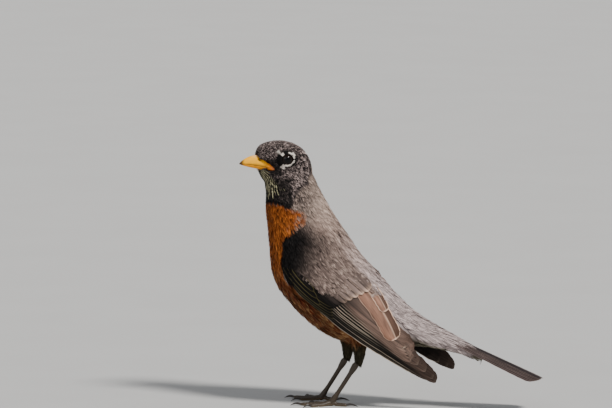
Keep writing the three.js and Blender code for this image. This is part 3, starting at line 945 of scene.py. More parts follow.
def nearest(skin, p):
    """The skin's nearest point to each of p, by number."""
    return np.array([skin.tree.find(place)[1] for place in p.tolist()])


def grows(skin, p, at):
    """Which roots bear feathers: not in an eye's socket, in a fold or where the wing's large
    feathers lie."""
    keep = skin.sound[at].copy()
    for eye in EYES.values():
        keep &= apart(p, eye) > EYE_CLEAR
    for wing in WINGS.values():
        a, b = in_wing(wing, p)
        out = p[:, 0] * wing.side
        under_vanes = (b > -7) & (b < 22.5 - 0.2 * np.clip(a - 38, 0, None)) & (out > 10)
        sunk_end = (skin.wing[at] > 0.3) & (out > 0) & (a > ARM_END[0] + 1)
        keep &= ~(under_vanes & (a > within(COVERED_FROM, b))) & ~sunk_end
    start = p + skin.normal[at] * 0.5
    for i in np.flatnonzero(keep):
        if skin.surface.ray_cast(start[i], skin.normal[at[i]], FOLD)[0]:
            keep[i] = False
    return keep


def trace(skin, p, at, length):
    """Paths over the skin down the lie of the coat: their points, sideways and outward ways."""
    normal = skin.normal[at]
    turn = rng.normal(0, 0.1, len(p))[:, None]
    spots, ups, overs = [], [], []
    way = skin.flow[at]
    for step in range(STRETCHES + 1):
        if step:
            p = p + way * (length / STRETCHES)[:, None]
            at = nearest(skin, p)
            gone = dot(skin.normal[at], normal) < LEAVES
            normal = np.where(gone, normal, unit(skin.normal[at] + normal))
            height = dot(p - skin.co[at], normal)
            fall = np.where(height > 0, 0.7, 1.0) * np.where(gone, 0, 1)
            p = p - normal * np.clip(height, -1.5, 1.5) * fall
            way = np.where(gone, way, skin.flow[at])
        way = across_normal(unit(way + np.cross(normal, way) * turn), normal)
        spots.append(p)
        ups.append(normal)
        overs.append(np.cross(normal, way))
    return [np.stack(rows, axis=1) for rows in (spots, overs, ups)]


def read_path(rows, t):
    """Values of each path at t from 0 to 1: rows is (paths, steps, 3) and t is (paths, ...)."""
    place = np.clip(t, 0, 1) * STRETCHES
    low = np.minimum(place.astype(int), STRETCHES - 1)
    path = np.arange(len(rows)).reshape((-1,) + (1,) * (t.ndim - 1))
    share = (place - low)[..., None]
    return rows[path, low] * (1 - share) + rows[path, low + 1] * share


def tufts(paths, half, lift, paint, uv, strands, clump):
    """Feathers as fans of pointed barbs, closed towards the shaft and loose at the tip. paint gives
    the markings at points, and clump says how much a feather's barbs take one tone together.
    Returns points, triangles, colours and places on the unwrap."""
    n = len(half)
    across = np.linspace(-1, 1, strands) + rng.normal(0, 0.05, (n, strands))
    end = 1 - 0.34 * np.abs(across) ** 2.2 + rng.uniform(-0.09, 0.03, (n, strands))
    t = end[..., None] * STATIONS
    verts, seen = barb_points(paths, half[:, None, None], lift[:, None, None], across[..., None], t)
    own = barb_colours(*paint(seen.reshape(-1, 3)), across, clump)
    colours = np.repeat(own, 2, axis=2)[:, :, :BARB_POINTS]
    patch = np.stack([across[..., None] * np.ones_like(t), 2 * t - 1], axis=-1) * PATCH / 2
    uvs = np.repeat(uv[:, None, None] + patch, 2, axis=2)[:, :, :BARB_POINTS]
    tris = np.arange(n * strands)[:, None, None] * BARB_POINTS + BARB_TRIANGLES
    return verts.reshape(-1, 3), tris.reshape(-1, 3), colours.reshape(-1, 3), uvs.reshape(-1, 2)


def barb_points(paths, half, lift, across, t):
    """The barbs' points along both rims, and the place where each barb shows best."""
    n, strands, _ = t.shape
    spread = np.clip(t / 0.5, 0, 1) ** 0.7 * (1 - 0.12 * t)
    lateral = across * half * spread
    width = half / strands * STATION_WIDTHS
    rise = lift * (0.1 + 0.9 * t**0.85)
    rise = rise - 0.10 * half * across**2
    rise = rise + rng.normal(0, 0.035, (n, strands, 1)) * half * t
    roll = rng.normal(0, 0.3, (n, strands, 1)) * width
    place, over, up = (read_path(rows, t) for rows in paths)
    sides = []
    for edge in (-1, 1):
        moved = (lateral + edge * width)[..., None] * over
        sides.append(place + moved + (rise + edge * roll)[..., None] * up)
    verts = np.stack(sides, axis=3).reshape(n, strands, 2 * len(STATIONS), 3)[:, :, :BARB_POINTS]
    seen = (place + lateral[..., None] * over)[:, :, 2]
    return verts, seen


def barb_colours(tints, shown, across, clump):
    """The barbs' colours at their stations, each with its own luck and shade."""
    n, strands = across.shape
    colour, tips = (tint.reshape(n, strands, 1, 3) for tint in tints)
    alone, together = 4 * rng.random((n, strands)) ** 3, 5 * rng.random((n, 1)) ** 4
    luck = mix(alone, together * rng.uniform(0.5, 1.5, (n, strands)), clump)
    at_tip = ramp(0.5, 1.0, STATIONS) * np.clip(shown.reshape(n, strands) * luck, 0, 1)[..., None]
    shade = 1 + rng.normal(0, 0.1, (n, 1, 1)) + rng.normal(0, 0.22, (n, strands, 1))
    shade = shade * STATION_SHADES * (1 - 0.16 * hill(across, 0.2))[..., None]
    return np.clip(blend(colour, tips, at_tip) * shade[..., None], 0.003, 1)


def build_coat(skin):
    """All the small feathers, in pieces by the part of the body that they grow on."""
    p = scatter(skin)
    at = nearest(skin, p)
    keep = grows(skin, p, at)
    p, at = p[keep], at[keep]
    length = skin.length[at] * rng.uniform(0.85, 1.15, len(p))
    for eye in EYES.values():
        length = np.minimum(length, 0.9 + 0.55 * (apart(p, eye) - EYE_RADIUS))
    half = within([(2, 0.26), (6, 0.21)], length) * length
    lift = skin.depth[at] * rng.uniform(0.9, 1.08, len(p)) + 0.2
    coat = SimpleNamespace(p=p, half=half, lift=lift, thigh=skin.thigh[at], uv=unwrap(p))
    coat.paths = trace(skin, p, at, length)
    region = np.argmin([distances(tree_of([node]), p) for node in REGIONS], axis=0)
    astray = distances(tree_of(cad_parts), coat.paths[0][:, -1]) > MOST_ASTRAY
    for number, node in enumerate(REGIONS):
        add_tufts(coat, node, np.flatnonzero((region == number) & ~astray))


def add_tufts(coat, node, mine):
    """The feathers of one part of the body, in as many pieces as their triangles need."""
    slot, strands, clump = REGIONS[node]
    parts = max(1, math.ceil(len(mine) * strands * len(BARB_TRIANGLES) / MOST_TRIANGLES))
    if parts > 1:
        mine = mine[np.argsort(coat.p[mine, 0], kind="stable")]
    for part, some in enumerate(np.array_split(mine, parts)):
        paint = partial(plumage, thigh=np.repeat(coat.thigh[some], strands))
        paths = [path[some] for path in coat.paths]
        made = tufts(paths, coat.half[some], coat.lift[some], paint, coat.uv[some], strands, clump)
        name = f"coat_{node}" + (f"_{part + 1}" if parts > 1 else "")
        piece(name, PLUME, slot, *made)


# ---- Flight feathers ----

ROWS = 30  # of points along a large feather
QUILL = srgb(56, 48, 44)
EDGE = srgb(196, 180, 160)
# What is usual for a large feather.
USUAL = {
    "bow": 0.0,  # how far the shaft curves up
    "round": 5.0,  # the length of the rounded tip
    "sink": 0.25,  # how deep it lies
    "slant": 0.1,  # how much deeper its inner web's edge lies, as a share of the width
    "dip": 0.0,  # how much deeper its root lies
    "ridge": 0.0,  # how far its shaft stands up
    "colour": QUILL,
    "edge": EDGE,
    "shaft": QUILL * 0.5,
    "rim": 0.8,  # how much the pale edge shows on the outer web
    "inner_rim": 0.0,  # on the inner web
    "tip_rim": 0.5,  # and at the tip
    "rim_width": 0.4,
    "rim_fades": 1.5,  # how far along it the pale edge fades
    "turns": 0.7,  # how far along it takes its tip's colour
    "lit": 1.0,  # how much lighter the outer web is
}


def feather(root, tip, outer, inner, **other):
    """A large feather's description, with what is usual filled in: where it begins and ends, how
    wide its outer and inner webs are, and what is its own."""
    own = {**USUAL, "seed": int(rng.integers(1000)), **other}
    own.setdefault("tip_colour", own["colour"])
    return SimpleNamespace(root=root, tip=tip, outer=outer, inner=inner, **own)


def web(t, tip):
    """A web's width along a feather, as a share: full from near the root, round at the tip."""
    grown = 0.5 + 0.5 * ramp(0, 0.25, t)
    near_tip = np.clip((t - 1 + tip) / tip, 0, 1)
    return grown * np.sqrt(np.clip(1 - near_tip**2.2, 0, 1))


def columns_of(f):
    """Places across a feather, as shares of each web's width, close together at the rims."""
    within_web = np.array([0.12, 0.5])
    rims = f.rim_width * np.array([1.3, 0.7, 0])
    outer = np.concatenate([within_web, 1 - rims / f.outer])
    inner = np.concatenate([within_web, 1 - rims / f.inner])
    return np.concatenate([-outer[::-1], [0], inner])


def vane(f):
    """One large feather, drawn flat: points (along, across), depths, colours, barbs, columns."""
    root, tip = np.array(f.root, float), np.array(f.tip, float)
    axis = unit(tip - root)
    over = np.array([-axis[1], axis[0]])
    length = apart(tip, root)
    t = 1 - (1 - np.linspace(0, 1, ROWS)) ** 1.35
    shaft = blend(root, tip, t) + (4 * f.bow * t * (1 - t))[:, None] * over
    ragged = 1 + 0.03 * rng.normal(size=(ROWS, 2))
    outer = f.outer * web(t, f.round * 1.3 / length) * ragged[:, 0]
    inner = f.inner * web(t, f.round / length) * ragged[:, 1]
    columns = columns_of(f)
    q, t = np.broadcast_arrays(columns, t[:, None])
    lateral = q * np.where(q < 0, outer[:, None], inner[:, None])
    flat = shaft[:, None] + lateral[..., None] * over
    depth = f.sink + f.slant * (lateral + f.outer) + f.dip * (1 - t) ** 2
    depth = depth - f.ridge * (1 - t) * hill(q, 0.12)
    barbs = np.stack([lateral, t * length, np.full_like(q, f.seed)], axis=-1)
    return flat, depth, vane_colours(f, flat, q, t, length), barbs, columns


def vane_colours(f, flat, q, t, length):
    """A large feather's colours at q across and t along: webs with painted shade towards their edges,
    shaft and pale rims.
    """
    outside = q < 0
    streak = waves(np.stack([flat[..., 0] * 0.12, flat[..., 1], 0 * q], axis=-1), 3, f.seed)
    beside_shaft = hill(q - 0.2, 0.4472)
    tone = (1 + 0.12 * streak) * (1 - 0.2 * beside_shaft)
    # Painted shade: each web darkens towards its edge.
    tone = tone * (1 - 0.3 * ramp(0.4, 1.0, np.abs(q)))
    tone = tone * np.where(outside, f.lit * (1 + 0.2 * hill(q + 0.5, 0.25)), 1 / f.lit)
    colours = blend(f.colour, f.tip_colour, ramp(f.turns - 0.2, f.turns + 0.2, t)) * tone[..., None]
    colours = blend(colours, f.shaft, hill(q, 0.07) * 0.8)
    from_edge = (1 - np.abs(q)) * np.where(outside, f.outer, f.inner)
    rim = ramp(1.25, 0.65, from_edge / f.rim_width) * np.where(outside, f.rim, f.inner_rim)
    rim = rim * (1 - 0.85 * ramp(f.rim_fades - 0.15, f.rim_fades + 0.15, t))
    rim = np.maximum(rim, f.tip_rim * ramp(1 - 1.4 / length, 1 - 0.2 / length, t))
    return blend(colours, f.edge, np.clip(rim, 0, 1))


def lay(name, feathers, place, slot, replaces=()):
    """Lays large feathers with place(along, across, depth) and joins them as one piece."""
    parts = []
    for number, f in enumerate(feathers):
        flat, depth, colours, barbs, columns = vane(f)
        verts = place(flat[..., 0], flat[..., 1], depth)
        v, u = np.meshgrid(np.linspace(0.01, 0.99, ROWS), 0.5 + 0.45 * columns, indexing="ij")
        uvs = np.stack([(number + u) / len(feathers), v], axis=-1)
        faces = grid_faces(ROWS, len(columns))
        parts.append([verts.reshape(-1, 3), faces, colours.reshape(-1, 3), uvs.reshape(-1, 2),
                      barbs.reshape(-1, 3)])
    piece(name, VANE, slot, *join(parts), replaces=replaces)


# ---- The wings' large feathers ----

WING_BLACK = srgb(15, 13, 12)
WING_BROWN = srgb(102, 82, 73)
TERTIAL = srgb(110, 80, 66)
TERTIAL_EDGE = srgb(232, 196, 172)
OLIVE = srgb(112, 102, 66)
# The primaries that show, from the outermost: the tip's a and b, the rim and how far along it fades.
PRIMARIES = [
    ((113, -5.7), 0.9, 1.5),
    ((119.5, -5.1), 0.1, 1.5),
    ((124, -4.2), 0.6, 0.75),
    ((121, -3.1), 0.12, 0.5),
    ((114.5, -1.9), 0.4, 0.5),
    ((108, -0.7), 0.8, 0.45),
]
# The secondaries, from the outermost: the tip, the rim, where black turns brown and the tip's rim.
SECONDARIES = [
    ((103, -1.2), 0.75, 0.78, 0.1),
    ((101, 0.2), 0.8, 0.6, 0.1),
    ((99, 1.5), 0.65, 0.42, 0.1),
    ((97, 2.7), 0.3, 0.34, 0.1),
    ((95, 3.8), 0.12, 0.28, 0.6),
]
# How much lower a wing's innermost tertial lies, and how much its upper edge shows.
TOP_TERTIAL = {"left": (0.0, 0.95), "right": (0.9, 0.1)}
GREATER_COVERTS = 7


def primaries():
    return [
        feather((36, -6.0 + 1.6 * k), tip, 2.3, 6.5, round=9, colour=WING_BLACK, edge=EDGE * 0.7,
                tip_colour=blend(WING_BLACK, WING_BROWN, 0.1 + 0.12 * k), rim=rim, bow=-0.8,
                sink=0.35, tip_rim=0.12, turns=0.86, rim_fades=fades)
        for k, (tip, rim, fades) in enumerate(PRIMARIES)
    ]


def secondaries():
    return [
        feather((34, 4.0 + 1.9 * k), tip, 2.6, 7.0, round=5, bow=-0.5, tip_colour=WING_BROWN,
                colour=WING_BLACK, rim=rim, turns=turns, edge=EDGE * 0.75, tip_rim=tip_rim,
                rim_fades=0.55)
        for k, (tip, rim, turns, tip_rim) in enumerate(SECONDARIES)
    ]


def tertials(side):
    shared = {"edge": TERTIAL_EDGE, "slant": 0.06, "tip_rim": 0.8, "ridge": 0.16,
              "shaft": TERTIAL_EDGE * 0.6}
    lowered, top_rim = TOP_TERTIAL[side]
    return [
        feather((38, 16.5), (93.2, 2.2), 6.0, 5.2, bow=2.6, round=7, sink=0.45, rim=0.15, dip=2.4,
                colour=TERTIAL * 0.75, lit=1.3, inner_rim=0.95, **shared),
        feather((39, 23.5), (87.2, 5.4), 6.4, 3.7, bow=2.8, round=6, sink=0.0, rim=0.3, dip=1.6,
                colour=TERTIAL * 0.9, lit=1.5, inner_rim=0.95, **shared),
        feather((48, 25.0 - lowered), (71.3, 16.4 - lowered), 3.6, 2.1, bow=1.0, round=4, sink=-0.25,
                rim=0.5, dip=4.0, colour=TERTIAL * 0.9, lit=1.5, inner_rim=top_rim, **shared),
    ]


def greater_coverts():
    made = []
    for share in np.linspace(0, 1, GREATER_COVERTS):
        tip = (44 + 10.5 * share, 2.5 + 18.3 * share)
        root = (tip[0] - 17, tip[1] + 2.6)
        # The lower coverts' black is partly their own dark colour, partly painted shade.
        colour = blend(WING_BLACK, WING, ramp(0.0, 0.7, share))
        pale = blend(WING_BLACK, TERTIAL_EDGE * 0.72, ramp(0.15, 0.7, share))
        made.append(feather(root, tip, 3.0, 4.4, round=7, bow=0.3, sink=-0.3, dip=1.3, rim=0.2,
                            colour=colour, tip_colour=pale, edge=pale, tip_rim=0.3, turns=0.93,
                            lit=1.25))
    return made


def primary_coverts():
    """The primaries' own coverts, and over them the alula's three feathers."""
    # Their near black is partly the feathers' own dark colour, partly painted shade.
    dark = {"colour": WING_BLACK * 0.8, "edge": OLIVE, "tip_rim": 0.25, "round": 12, "dip": 0.8}
    long = [
        feather((12, -3.4 + 1.5 * k), (46 - 1.2 * k, -5.4 + 1.6 * k), 1.7, 3.4, bow=-0.3, rim=0.5,
                sink=0.1, slant=0.12, **dark)
        for k in range(5)
    ]
    alula = [
        feather((-1 + 1.5 * k, 3.5 + 2.6 * k), (34 - 4 * k, -2.4 + 2.6 * k), 1.7, 3.0, bow=-0.6,
                rim=0.6, inner_rim=0.7, sink=-0.3, **dark)
        for k in range(3)
    ]
    return long + alula


def add_wing(side):
    place = partial(on_wing, WINGS[side])
    lay(f"primaries_{side}", primaries(), place, "wing", [f"wing_{side}_primaries"])
    lay(f"secondaries_{side}", secondaries(), place, "wing", [f"wing_{side}_secondaries"])
    lay(f"tertials_{side}", tertials(side), place, "wing")
    lay(f"greater_coverts_{side}", greater_coverts(), place, "wing")
    lay(f"primary_coverts_{side}", primary_coverts(), place, "wing")


# ---- Tail ----

TAIL_SLOPE = math.radians(22.8)
TAIL_ALONG = np.array([0, math.cos(TAIL_SLOPE), -math.sin(TAIL_SLOPE)])
TAIL_UP = np.array([0, math.sin(TAIL_SLOPE), math.cos(TAIL_SLOPE)])
TAIL_LENGTH = 88.0
TAIL_ARCH = 2.2
TAIL_HALF = 15.0
TAIL_BROWN = srgb(60, 48, 50)
TAIL_EDGE = srgb(132, 116, 110)
TAIL_TONES = (0.5, 0.9, 0.5, 1.2, 0.55, 1.1)  # from the middle pair to the outermost


def tail_feather(pair, side):
    """One of a pair of tail feathers, with pair 0 in the middle and on top."""
    outer, inner = (4.6, 3.8) if side > 0 else (3.8, 4.6)
    return feather((8, side * 0.6 * pair),
                   (TAIL_LENGTH - 0.5 - 0.14 * pair**2, side * (1.9 + 1.75 * pair)), outer, inner,
                   round=6, bow=side * 0.25 * pair, sink=0.24 * pair + (0.1 if side < 0 else 0),
                   slant=0, ridge=0.2, colour=TAIL_BROWN * TAIL_TONES[pair], edge=TAIL_EDGE,
                   rim=0.8, inner_rim=0.8, rim_width=0.5, shaft=TAIL_BROWN * 0.25,
                   tip_rim=0.3 + 0.14 * pair)


def add_tail():
    start = farthest(points("tail"), TAIL_ALONG) * [0, 1, 1] - TAIL_ALONG * TAIL_LENGTH

    def place(along, across, depth):
        rise = 1.0 - TAIL_ARCH * (across / TAIL_HALF) ** 2 - depth
        flat = start + along[..., None] * TAIL_ALONG + rise[..., None] * TAIL_UP
        return flat + across[..., None] * X

    pairs = reversed(range(len(TAIL_TONES)))
    feathers = [tail_feather(pair, side) for pair in pairs for side in SIDES.values()]
    lay("tail_feathers", feathers, place, "tail", ["tail"])


# ---- Bill ----

# Along the bill from the gape to the tip: forward, culmen, tomium, lower edge, half width.
BILL_TABLE = [
    (7.0, -3.4, -6.5, -8.2, 7.6),
    (9.5, -0.8, -6.0, -8.0, 7.0),
    (12.5, 1.8, -5.2, -7.5, 6.0),
    (16.0, 3.0, -4.3, -6.7, 4.6),
    (19.5, 2.9, -3.7, -5.9, 3.5),
    (23.0, 2.0, -3.2, -5.1, 2.55),
    (26.4, 0.4, -2.9, -4.2, 1.6),
    (28.6, -1.1, -2.75, -3.4, 0.85),
    (29.9, -2.45, -2.7, -2.85, 0.12),
]
BILL_ROWS, BILL_COLUMNS = 44, 32
BILL_YELLOW = srgb(255, 180, 0)
BILL_ORANGE = srgb(248, 134, 12)
GAPE = srgb(214, 126, 82)
# The colour of the culmen's painted highlight.
BILL_HIGHLIGHT = srgb(232, 196, 168)
BILL_DUSK = srgb(52, 40, 36)
LOWER_ORANGE = 0.4067  # how far the lower half turns orange all along
NOSTRIL = (16.6, 0.2)  # forward and up


def mandible(upper):
    """One half of the bill, closed: points, quads and colours."""
    t = 1 - (1 - np.linspace(0, 1, BILL_ROWS)) ** 1.4
    stations = soften(resample(BILL_TABLE, t), 8)
    forward, culmen, tomium, under, half = stations.T[..., None]
    angle = circle(BILL_COLUMNS)
    rise, aside = np.sin(angle), np.cos(angle)
    lateral = half * np.sign(aside) * np.abs(aside) ** 0.8
    full = (culmen if upper else under) - tomium
    shut = 0.12 * half * (1 if upper else -1)
    over_edge = np.where(rise > 0, full * np.abs(rise) ** 0.92, -shut * np.abs(rise) ** 0.5)
    nostril = hill(forward - NOSTRIL[0], 1.3) * hill(tomium + over_edge - NOSTRIL[1], 0.5) * upper
    if upper:
        lateral = lateral * (1 - 0.16 * ramp(0.55, 0.95, rise))
        lateral = lateral - np.sign(lateral) * 0.8 * nostril
    verts = from_head(forward, lateral, tomium + over_edge)
    colour = horn_colours(upper, verts, over_edge, full, nostril)
    sides = grid_faces(BILL_ROWS, BILL_COLUMNS, wrap=True)
    last = BILL_COLUMNS - 1
    cap = np.array([[k, k + 1, last - 1 - k, last - k] for k in range(BILL_COLUMNS // 2 - 1)])
    faces = np.concatenate([sides, cap[:, ::-1], cap + (BILL_ROWS - 1) * BILL_COLUMNS])
    verts = verts.reshape(-1, 3)
    return verts, outward(verts, faces, verts.mean(axis=0)), colour.reshape(-1, 3)


def horn_colours(upper, verts, over_edge, full, nostril):
    """The bill's yellow, orange at base and gape, a painted highlight along the culmen, and dusky at the
    tip.
    """
    forward, _, height = np.moveaxis(to_head(verts), -1, 0)
    colour = blend(BILL_ORANGE, BILL_YELLOW, ramp(9, 16, forward))
    if upper:
        # A painted highlight along the top of the upper half, towards its base.
        top = ramp(0.0, 1.3, over_edge - 0.75 * full)
        colour = blend(colour, BILL_HIGHLIGHT, top * ramp(24, 17, forward) * 0.7)
    else:
        colour = blend(colour, BILL_ORANGE, LOWER_ORANGE)
    colour = blend(colour, GAPE, ramp(11.5, 8.5, forward) * 0.8)
    mouth = hill(over_edge, 0.22) * ramp(8, 12, forward)
    flecks = ramp(0.3, 0.8, waves(verts * [1, 1, 2.5], 2.4, 8))
    flecks = flecks * hill(over_edge, 0.8) * ramp(10, 14, forward) * ramp(27, 21, forward)
    tip = ramp(26.0, 28.3, forward + 0.15 * height)
    for dusk in (np.clip(nostril * 1.6, 0, 1), mouth * 0.8, flecks * 0.55, tip * 0.92):
        colour = blend(colour, BILL_DUSK, dusk)
    return colour


def add_bill():
    for node in BILL_HALVES:
        piece(f"{node}_horn", BILL, "bill", *mandible(node == "bill_upper"), replaces=[node])


# ---- Eyes ----

IRIS = srgb(24, 14, 9)
PUPIL = srgb(6, 5, 5)
# A lid's profile out from the opening: how far from the axis, and how far out along it.
LID = [(3.30, 3.55), (3.42, 3.92), (3.68, 4.08), (4.10, 4.02), (4.65, 3.72), (5.3, 3.25), (6.2, 2.3)]
# Rings of feathers on a lid: how far from the axis, and how many.
LID_RINGS = [(3.85, 54), (4.3, 58), (4.75, 62), (5.25, 66), (5.8, 70)]
LID_FEATHER = 1.25  # its length


def turned(side, angle, radius, out_by):
    """Points round an eye's axis. Angle 0 is to the rear and a quarter turn is up."""
    middle, ahead, up, out = eye_frame(side)
    flat = -np.cos(angle)[..., None] * ahead + np.sin(angle)[..., None] * up
    return middle + radius[..., None] * flat + out_by[..., None] * out


def almond(angle):
    """How far out a lid reaches, as a share: a little more before and behind the eye."""
    return 1 + 0.05 * np.cos(2 * angle)


def add_round(name, look, slot, side, verts, colour, replaces=()):
    """A piece round an eye's axis, from grids of points and colours."""
    faces = grid_faces(*verts.shape[:2], wrap=True)
    verts = verts.reshape(-1, 3)
    faces = outward(verts, faces, EYES[side])
    piece(name, look, slot, verts, faces, colour.reshape(-1, 3), replaces=replaces)


def eyeball(side):
    polar, angle = np.meshgrid(np.linspace(0.02, math.pi * 0.62, 40), circle(48), indexing="ij")
    radius = EYE_RADIUS * np.sin(polar)
    cornea = 0.28 * hill(polar, 0.6)
    verts = turned(side, angle, radius, EYE_RADIUS * np.cos(polar) + cornea)
    rays = 1 + 0.25 * np.sin(angle * 23) * np.sin(angle * 7 + 1)
    colour = blend(IRIS * rays[..., None], PUPIL, ramp(2.2, 2.0, radius))
    colour = blend(colour, PUPIL, ramp(3.1, 3.4, radius))
    add_round(f"eyeball_{side}", EYE, "eye", side, verts, colour, [f"eye_{side}"])


def eyelid(side):
    profile = resample(LID, np.linspace(0, 1, 26))
    angle = circle(72) + 0 * profile[:, :1]
    radius, out_by = (column[:, None] + 0 * angle for column in profile.T)
    verts = turned(side, angle, radius * almond(angle), out_by)
    colour = blend(BLACK, WHITE, white_at(np.degrees(angle), radius))
    add_round(f"eyelid_{side}", PLUME, "hood", side, verts, colour)


def lid_feathers(side):
    """Tiny feathers in rings on a lid, which make its white arcs."""
    angle, out = [], []
    for ring, count in LID_RINGS:
        angle.append(circle(count) + rng.normal(0, 0.03, count))
        out.append(ring + rng.normal(0, 0.07, count))
    angle, out = np.concatenate(angle), np.concatenate(out)
    rearward = np.where(np.sin(angle) > -0.2, -1, 1) * np.abs(np.sin(angle))
    spots = []
    for travel in np.linspace(0, LID_FEATHER, STRETCHES + 1):
        turn = angle + 0.75 * rearward * travel / out
        reach = out + travel * (0.35 + 0.5 * np.abs(np.cos(angle)))
        spots.append(turned(side, turn, reach * almond(turn), within(LID, reach)))
    spots = np.stack(spots, axis=1)
    middle, _, _, axis = eye_frame(side)
    ups = unit(unit(spots - middle) + axis * 0.4)
    overs = unit(np.cross(ups, np.gradient(spots, axis=1)))

    def paint(p):
        colour = blend(BLACK * 1.4, WHITE, eye_marks(side, p))
        return [colour, colour], np.zeros(len(p))

    half, lift = np.full(len(angle), 0.32), np.full(len(angle), 0.28)
    made = tufts([spots, overs, ups], half, lift, paint, unwrap(spots[:, 0]), 4, 0)
    piece(f"lid_feathers_{side}", PLUME, "hood", *made)


def add_eyes():
    for side in SIDES:
        eyeball(side)
        eyelid(side)
        lid_feathers(side)


# ---- Legs ----

LEG_BROWN = srgb(56, 44, 30)
LEG_PALE = srgb(112, 92, 66)
CLAW_BROWN = srgb(36, 30, 27)
TOES = ("middle", "inner", "outer", "hind")
FOOT_TOP = 2.5  # below this the tarsus is the ball of the foot
HEEL_DEPTH = 1.5
FLOOR_GAP = 0.02
SCUTE = 1.7  # a toe's plates are about this long


def rings(line, columns):
    """The ways out from each point of a line, in rings that stay across it."""
    way = unit(np.gradient(line, axis=0))
    side = unit(np.cross(way, Z + 0.3 * Y))
    over = unit(np.cross(side, way))
    angle = circle(columns)[:, None]
    return np.cos(angle) * side[:, None] + np.sin(angle) * over[:, None]


def scutes(t, count):
    """A ridge that rises along each of count plates and falls sharply at its end."""
    return ((t * count) % 1.0) ** 2


def tube(line, radius, ring, colour):
    """A tube round a line, kept above the floor: points, quads and colours."""
    verts = line[:, None] + radius[..., None] * ring
    verts[..., 2] = np.maximum(verts[..., 2], FLOOR_GAP)
    colours = np.broadcast_to(colour, verts.shape)
    return verts.reshape(-1, 3), grid_faces(*ring.shape[:2], wrap=True), colours.reshape(-1, 3)


def curve_through(knots, count):
    """A smooth line through a few points."""
    knots = np.array(knots, float)
    padded = np.concatenate([[2 * knots[0] - knots[1]], knots, [2 * knots[-1] - knots[-2]]])
    t = np.linspace(0, len(knots) - 1, count)
    i = np.minimum(t.astype(int), len(knots) - 2)
    u = (t - i)[:, None]
    a, b, c, d = (padded[i + k] for k in range(4))
    cubic = (3 * b - 3 * c + d - a) * u**3
    square = (2 * a - 5 * b + 4 * c - d) * u**2
    return 0.5 * (2 * b + (c - a) * u + square + cubic)


def foot_ball(side):
    """The middle of the ball of a foot, on the floor."""
    tarsus = points(f"tarsus_{side}")
    return tarsus[tarsus[:, 2] < FOOT_TOP].mean(axis=0) * [1, 1, 0]


def reach_of(node, ball):
    """The points of a CAD node that lie nearest to the ball of a foot and farthest, on the floor."""
    found = points(node) * [1, 1, 0]
    away = apart(found, ball)
    return found[np.argmin(away)], found[np.argmax(away)]


def shank(side):
    """The tarsus: a slim leg with plates down its front, thick at the heel and at the toes."""
    rows, columns, plates = 90, 24, 9
    tarsus = points(f"tarsus_{side}")
    heel = tarsus[tarsus[:, 2] > tarsus[:, 2].max() - HEEL_DEPTH].mean(axis=0) + HEEL_DEPTH * Z
    ball = foot_ball(side) + 2.0 * Z
    line = curve_through([heel, (heel + ball) / 2 + [0, 0.4, 0.4], ball], rows)
    t = np.linspace(0, 1, rows)[:, None]
    table = [(0, 1.7), (0.06, 2.25), (0.14, 2.15), (0.28, 1.5), (0.75, 1.4), (0.9, 1.9), (1, 2.2)]
    ring = rings(line, columns)
    front = ramp(0.2, 0.9, -ring @ unit(np.array([0, 1, -0.15])))
    radius = within(table, t) * (1 + 0.07 * (scutes(t, plates) - 0.4) * front)
    radius = radius * (1 - 0.1 * np.abs(np.cos(circle(columns))))
    colour = blend(LEG_BROWN, LEG_BROWN * 0.55, scutes(t, plates) ** 3 * front)
    return tube(line, radius, ring, colour)


def toe(side, node):
    """A toe with rings of scales above and pads below, flat on the floor."""
    rows = 60
    ball = foot_ball(side)
    end = reach_of(node, ball)[1]
    ahead, length = unit(end - ball), apart(end, ball)
    knots = [(0, 2.0), (2.5, 1.9), (length * 0.35, 1.15), (length * 0.7, 1.0), (length * 0.97, 1.0)]
    line = curve_through([ball + ahead * d + Z * h for d, h in knots], rows)
    t = np.linspace(0, 1, rows)[:, None]
    base = within([(0, 1.9), (0.2, 1.45), (0.6, 1.2), (0.9, 1.15), (1, 0.55)], t)
    ring = rings(line, 20)
    top, under = ramp(-0.1, 0.6, ring[..., 2]), ramp(0.1, -0.6, ring[..., 2])
    plates = scutes(t, length / SCUTE)
    pads = np.cos(t * 2 * math.pi * 3.5)
    radius = base * (1 + 0.09 * (plates - 0.4) * top) * (1 + 0.1 * pads * under)
    colour = blend(blend(LEG_BROWN, LEG_PALE, under * 0.8), LEG_BROWN * 0.5, plates**3 * top)
    return tube(line, radius, ring, colour)


def claw(side, node):
    """A claw that arches from its toe's end down to a point."""
    rows = 30
    ball = foot_ball(side)
    start, end = reach_of(node, ball)
    ahead = unit(end - ball)
    start = ball + ahead * ((start - ball) @ ahead)
    long = apart(end, start)
    knots = [(-0.8, 1.0), (long * 0.3, 1.5), (long * 0.65, 1.15), (long, 0.12)]
    line = curve_through([start + ahead * d + Z * h for d, h in knots], rows)
    t = np.linspace(0, 1, rows)[:, None]
    radius = within([(0, 0.75), (0.3, 0.8), (0.7, 0.48), (1, 0.08)], t)
    colour = blend(CLAW_BROWN, CLAW_BROWN * 2.2, (1 - t) * 0.5)
    return tube(line, radius, rings(line, 16) * [0.9, 0.9, 1.0], colour)


def add_legs():
    for side in SIDES:
        toes = [f"toe_{side}_{name}" for name in TOES]
        claws = [f"claw_{side}_{name}" for name in TOES]
        foot = join([shank(side)] + [toe(side, node) for node in toes])
        piece(f"foot_{side}", LEG, "leg", *foot, replaces=[f"tarsus_{side}", *toes])
        nails = join([claw(side, node) for node in claws])
        piece(f"claws_{side}", CLAW, "claw", *nails, replaces=claws)


# ---- Stage ----

CAMERA_AZIMUTH, CAMERA_ELEVATION = 105, 6
CAMERA_DISTANCE = 4.5  # metres
SENSOR = 36.0
VIEW_WIDTH = 0.4  # metres of the bird's plane that the picture's width shows
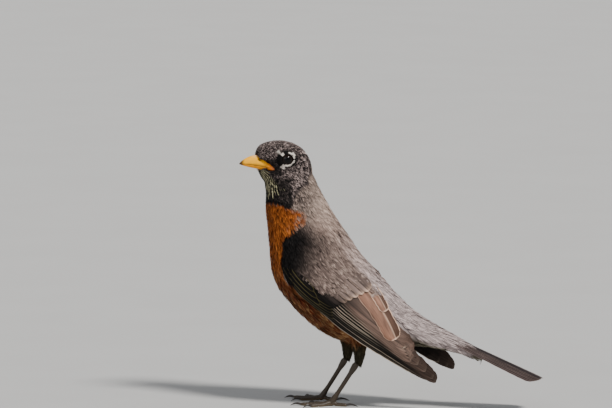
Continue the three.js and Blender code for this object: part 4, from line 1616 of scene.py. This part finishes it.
# What the picture's middle looks at, from between the eyes: left, back and up.
AIM = np.array([0, 15.6, -29.6])
FLOOR_HALF = 30.0  # metres


def towards(azimuth, elevation):
    """The way to an azimuth and elevation in degrees, with azimuth 0 in front of the bird."""
    a, e = math.radians(azimuth), math.radians(elevation)
    return Vector((math.sin(a) * math.cos(e), -math.cos(a) * math.cos(e), math.sin(e)))


def add_camera():
    data = bpy.data.cameras.new("camera")
    data.sensor_width = SENSOR
    data.lens = SENSOR * CAMERA_DISTANCE / VIEW_WIDTH
    data.clip_end = 100
    camera = add_object("camera", data)
    back = towards(CAMERA_AZIMUTH, CAMERA_ELEVATION)
    aim = Vector((BETWEEN_EYES + AIM) * [0, 1, 1] * MM)
    camera.location = aim + back * CAMERA_DISTANCE
    camera.rotation_mode = "QUATERNION"
    camera.rotation_quaternion = (-back).to_track_quat("-Z", "Y")
    bpy.context.scene.camera = camera


def add_floor():
    mesh = bpy.data.meshes.new("floor")
    size = FLOOR_HALF
    corners = [(-size, -size, 0), (size, -size, 0), (size, size, 0), (-size, size, 0)]
    mesh.from_pydata(corners, [], [(0, 1, 2, 3)])
    look = Look("floor", Roughness=0.9)
    look.use("Base Color", look.grey(look.spread(look.noise(12, 3.0), 0.48, 0.52)))
    mesh.materials.append(look.material)
    add_object("floor", mesh)


def add_sun(name, azimuth, elevation, strength, spread, colour):
    """A soft distant light that shines from an azimuth and elevation."""
    data = bpy.data.lights.new(name, "SUN")
    data.energy = strength
    data.angle = math.radians(spread)
    data.color = colour
    light = add_object(name, data)
    light.rotation_mode = "QUATERNION"
    light.rotation_quaternion = towards(azimuth, elevation).to_track_quat("Z", "Y")


def add_lights():
    add_sun("key", azimuth=150, elevation=50, strength=4.2, spread=12, colour=(1.0, 0.97, 0.92))
    add_sun("fill", azimuth=70, elevation=30, strength=0.5, spread=40, colour=(0.95, 0.97, 1.0))
    world = bpy.data.worlds.new("studio")
    world.use_nodes = True
    background = world.node_tree.nodes["Background"].inputs
    background["Color"].default_value = (0.86, 0.88, 0.9, 1)
    background["Strength"].default_value = 0.42
    bpy.context.scene.world = world


# ---- The whole bird ----

add_camera()
add_floor()
add_lights()
bird_skin = build_skin()
show_skin(bird_skin)
build_coat(bird_skin)
for each_side in SIDES:
    add_wing(each_side)
add_tail()
add_bill()
add_eyes()
add_legs()
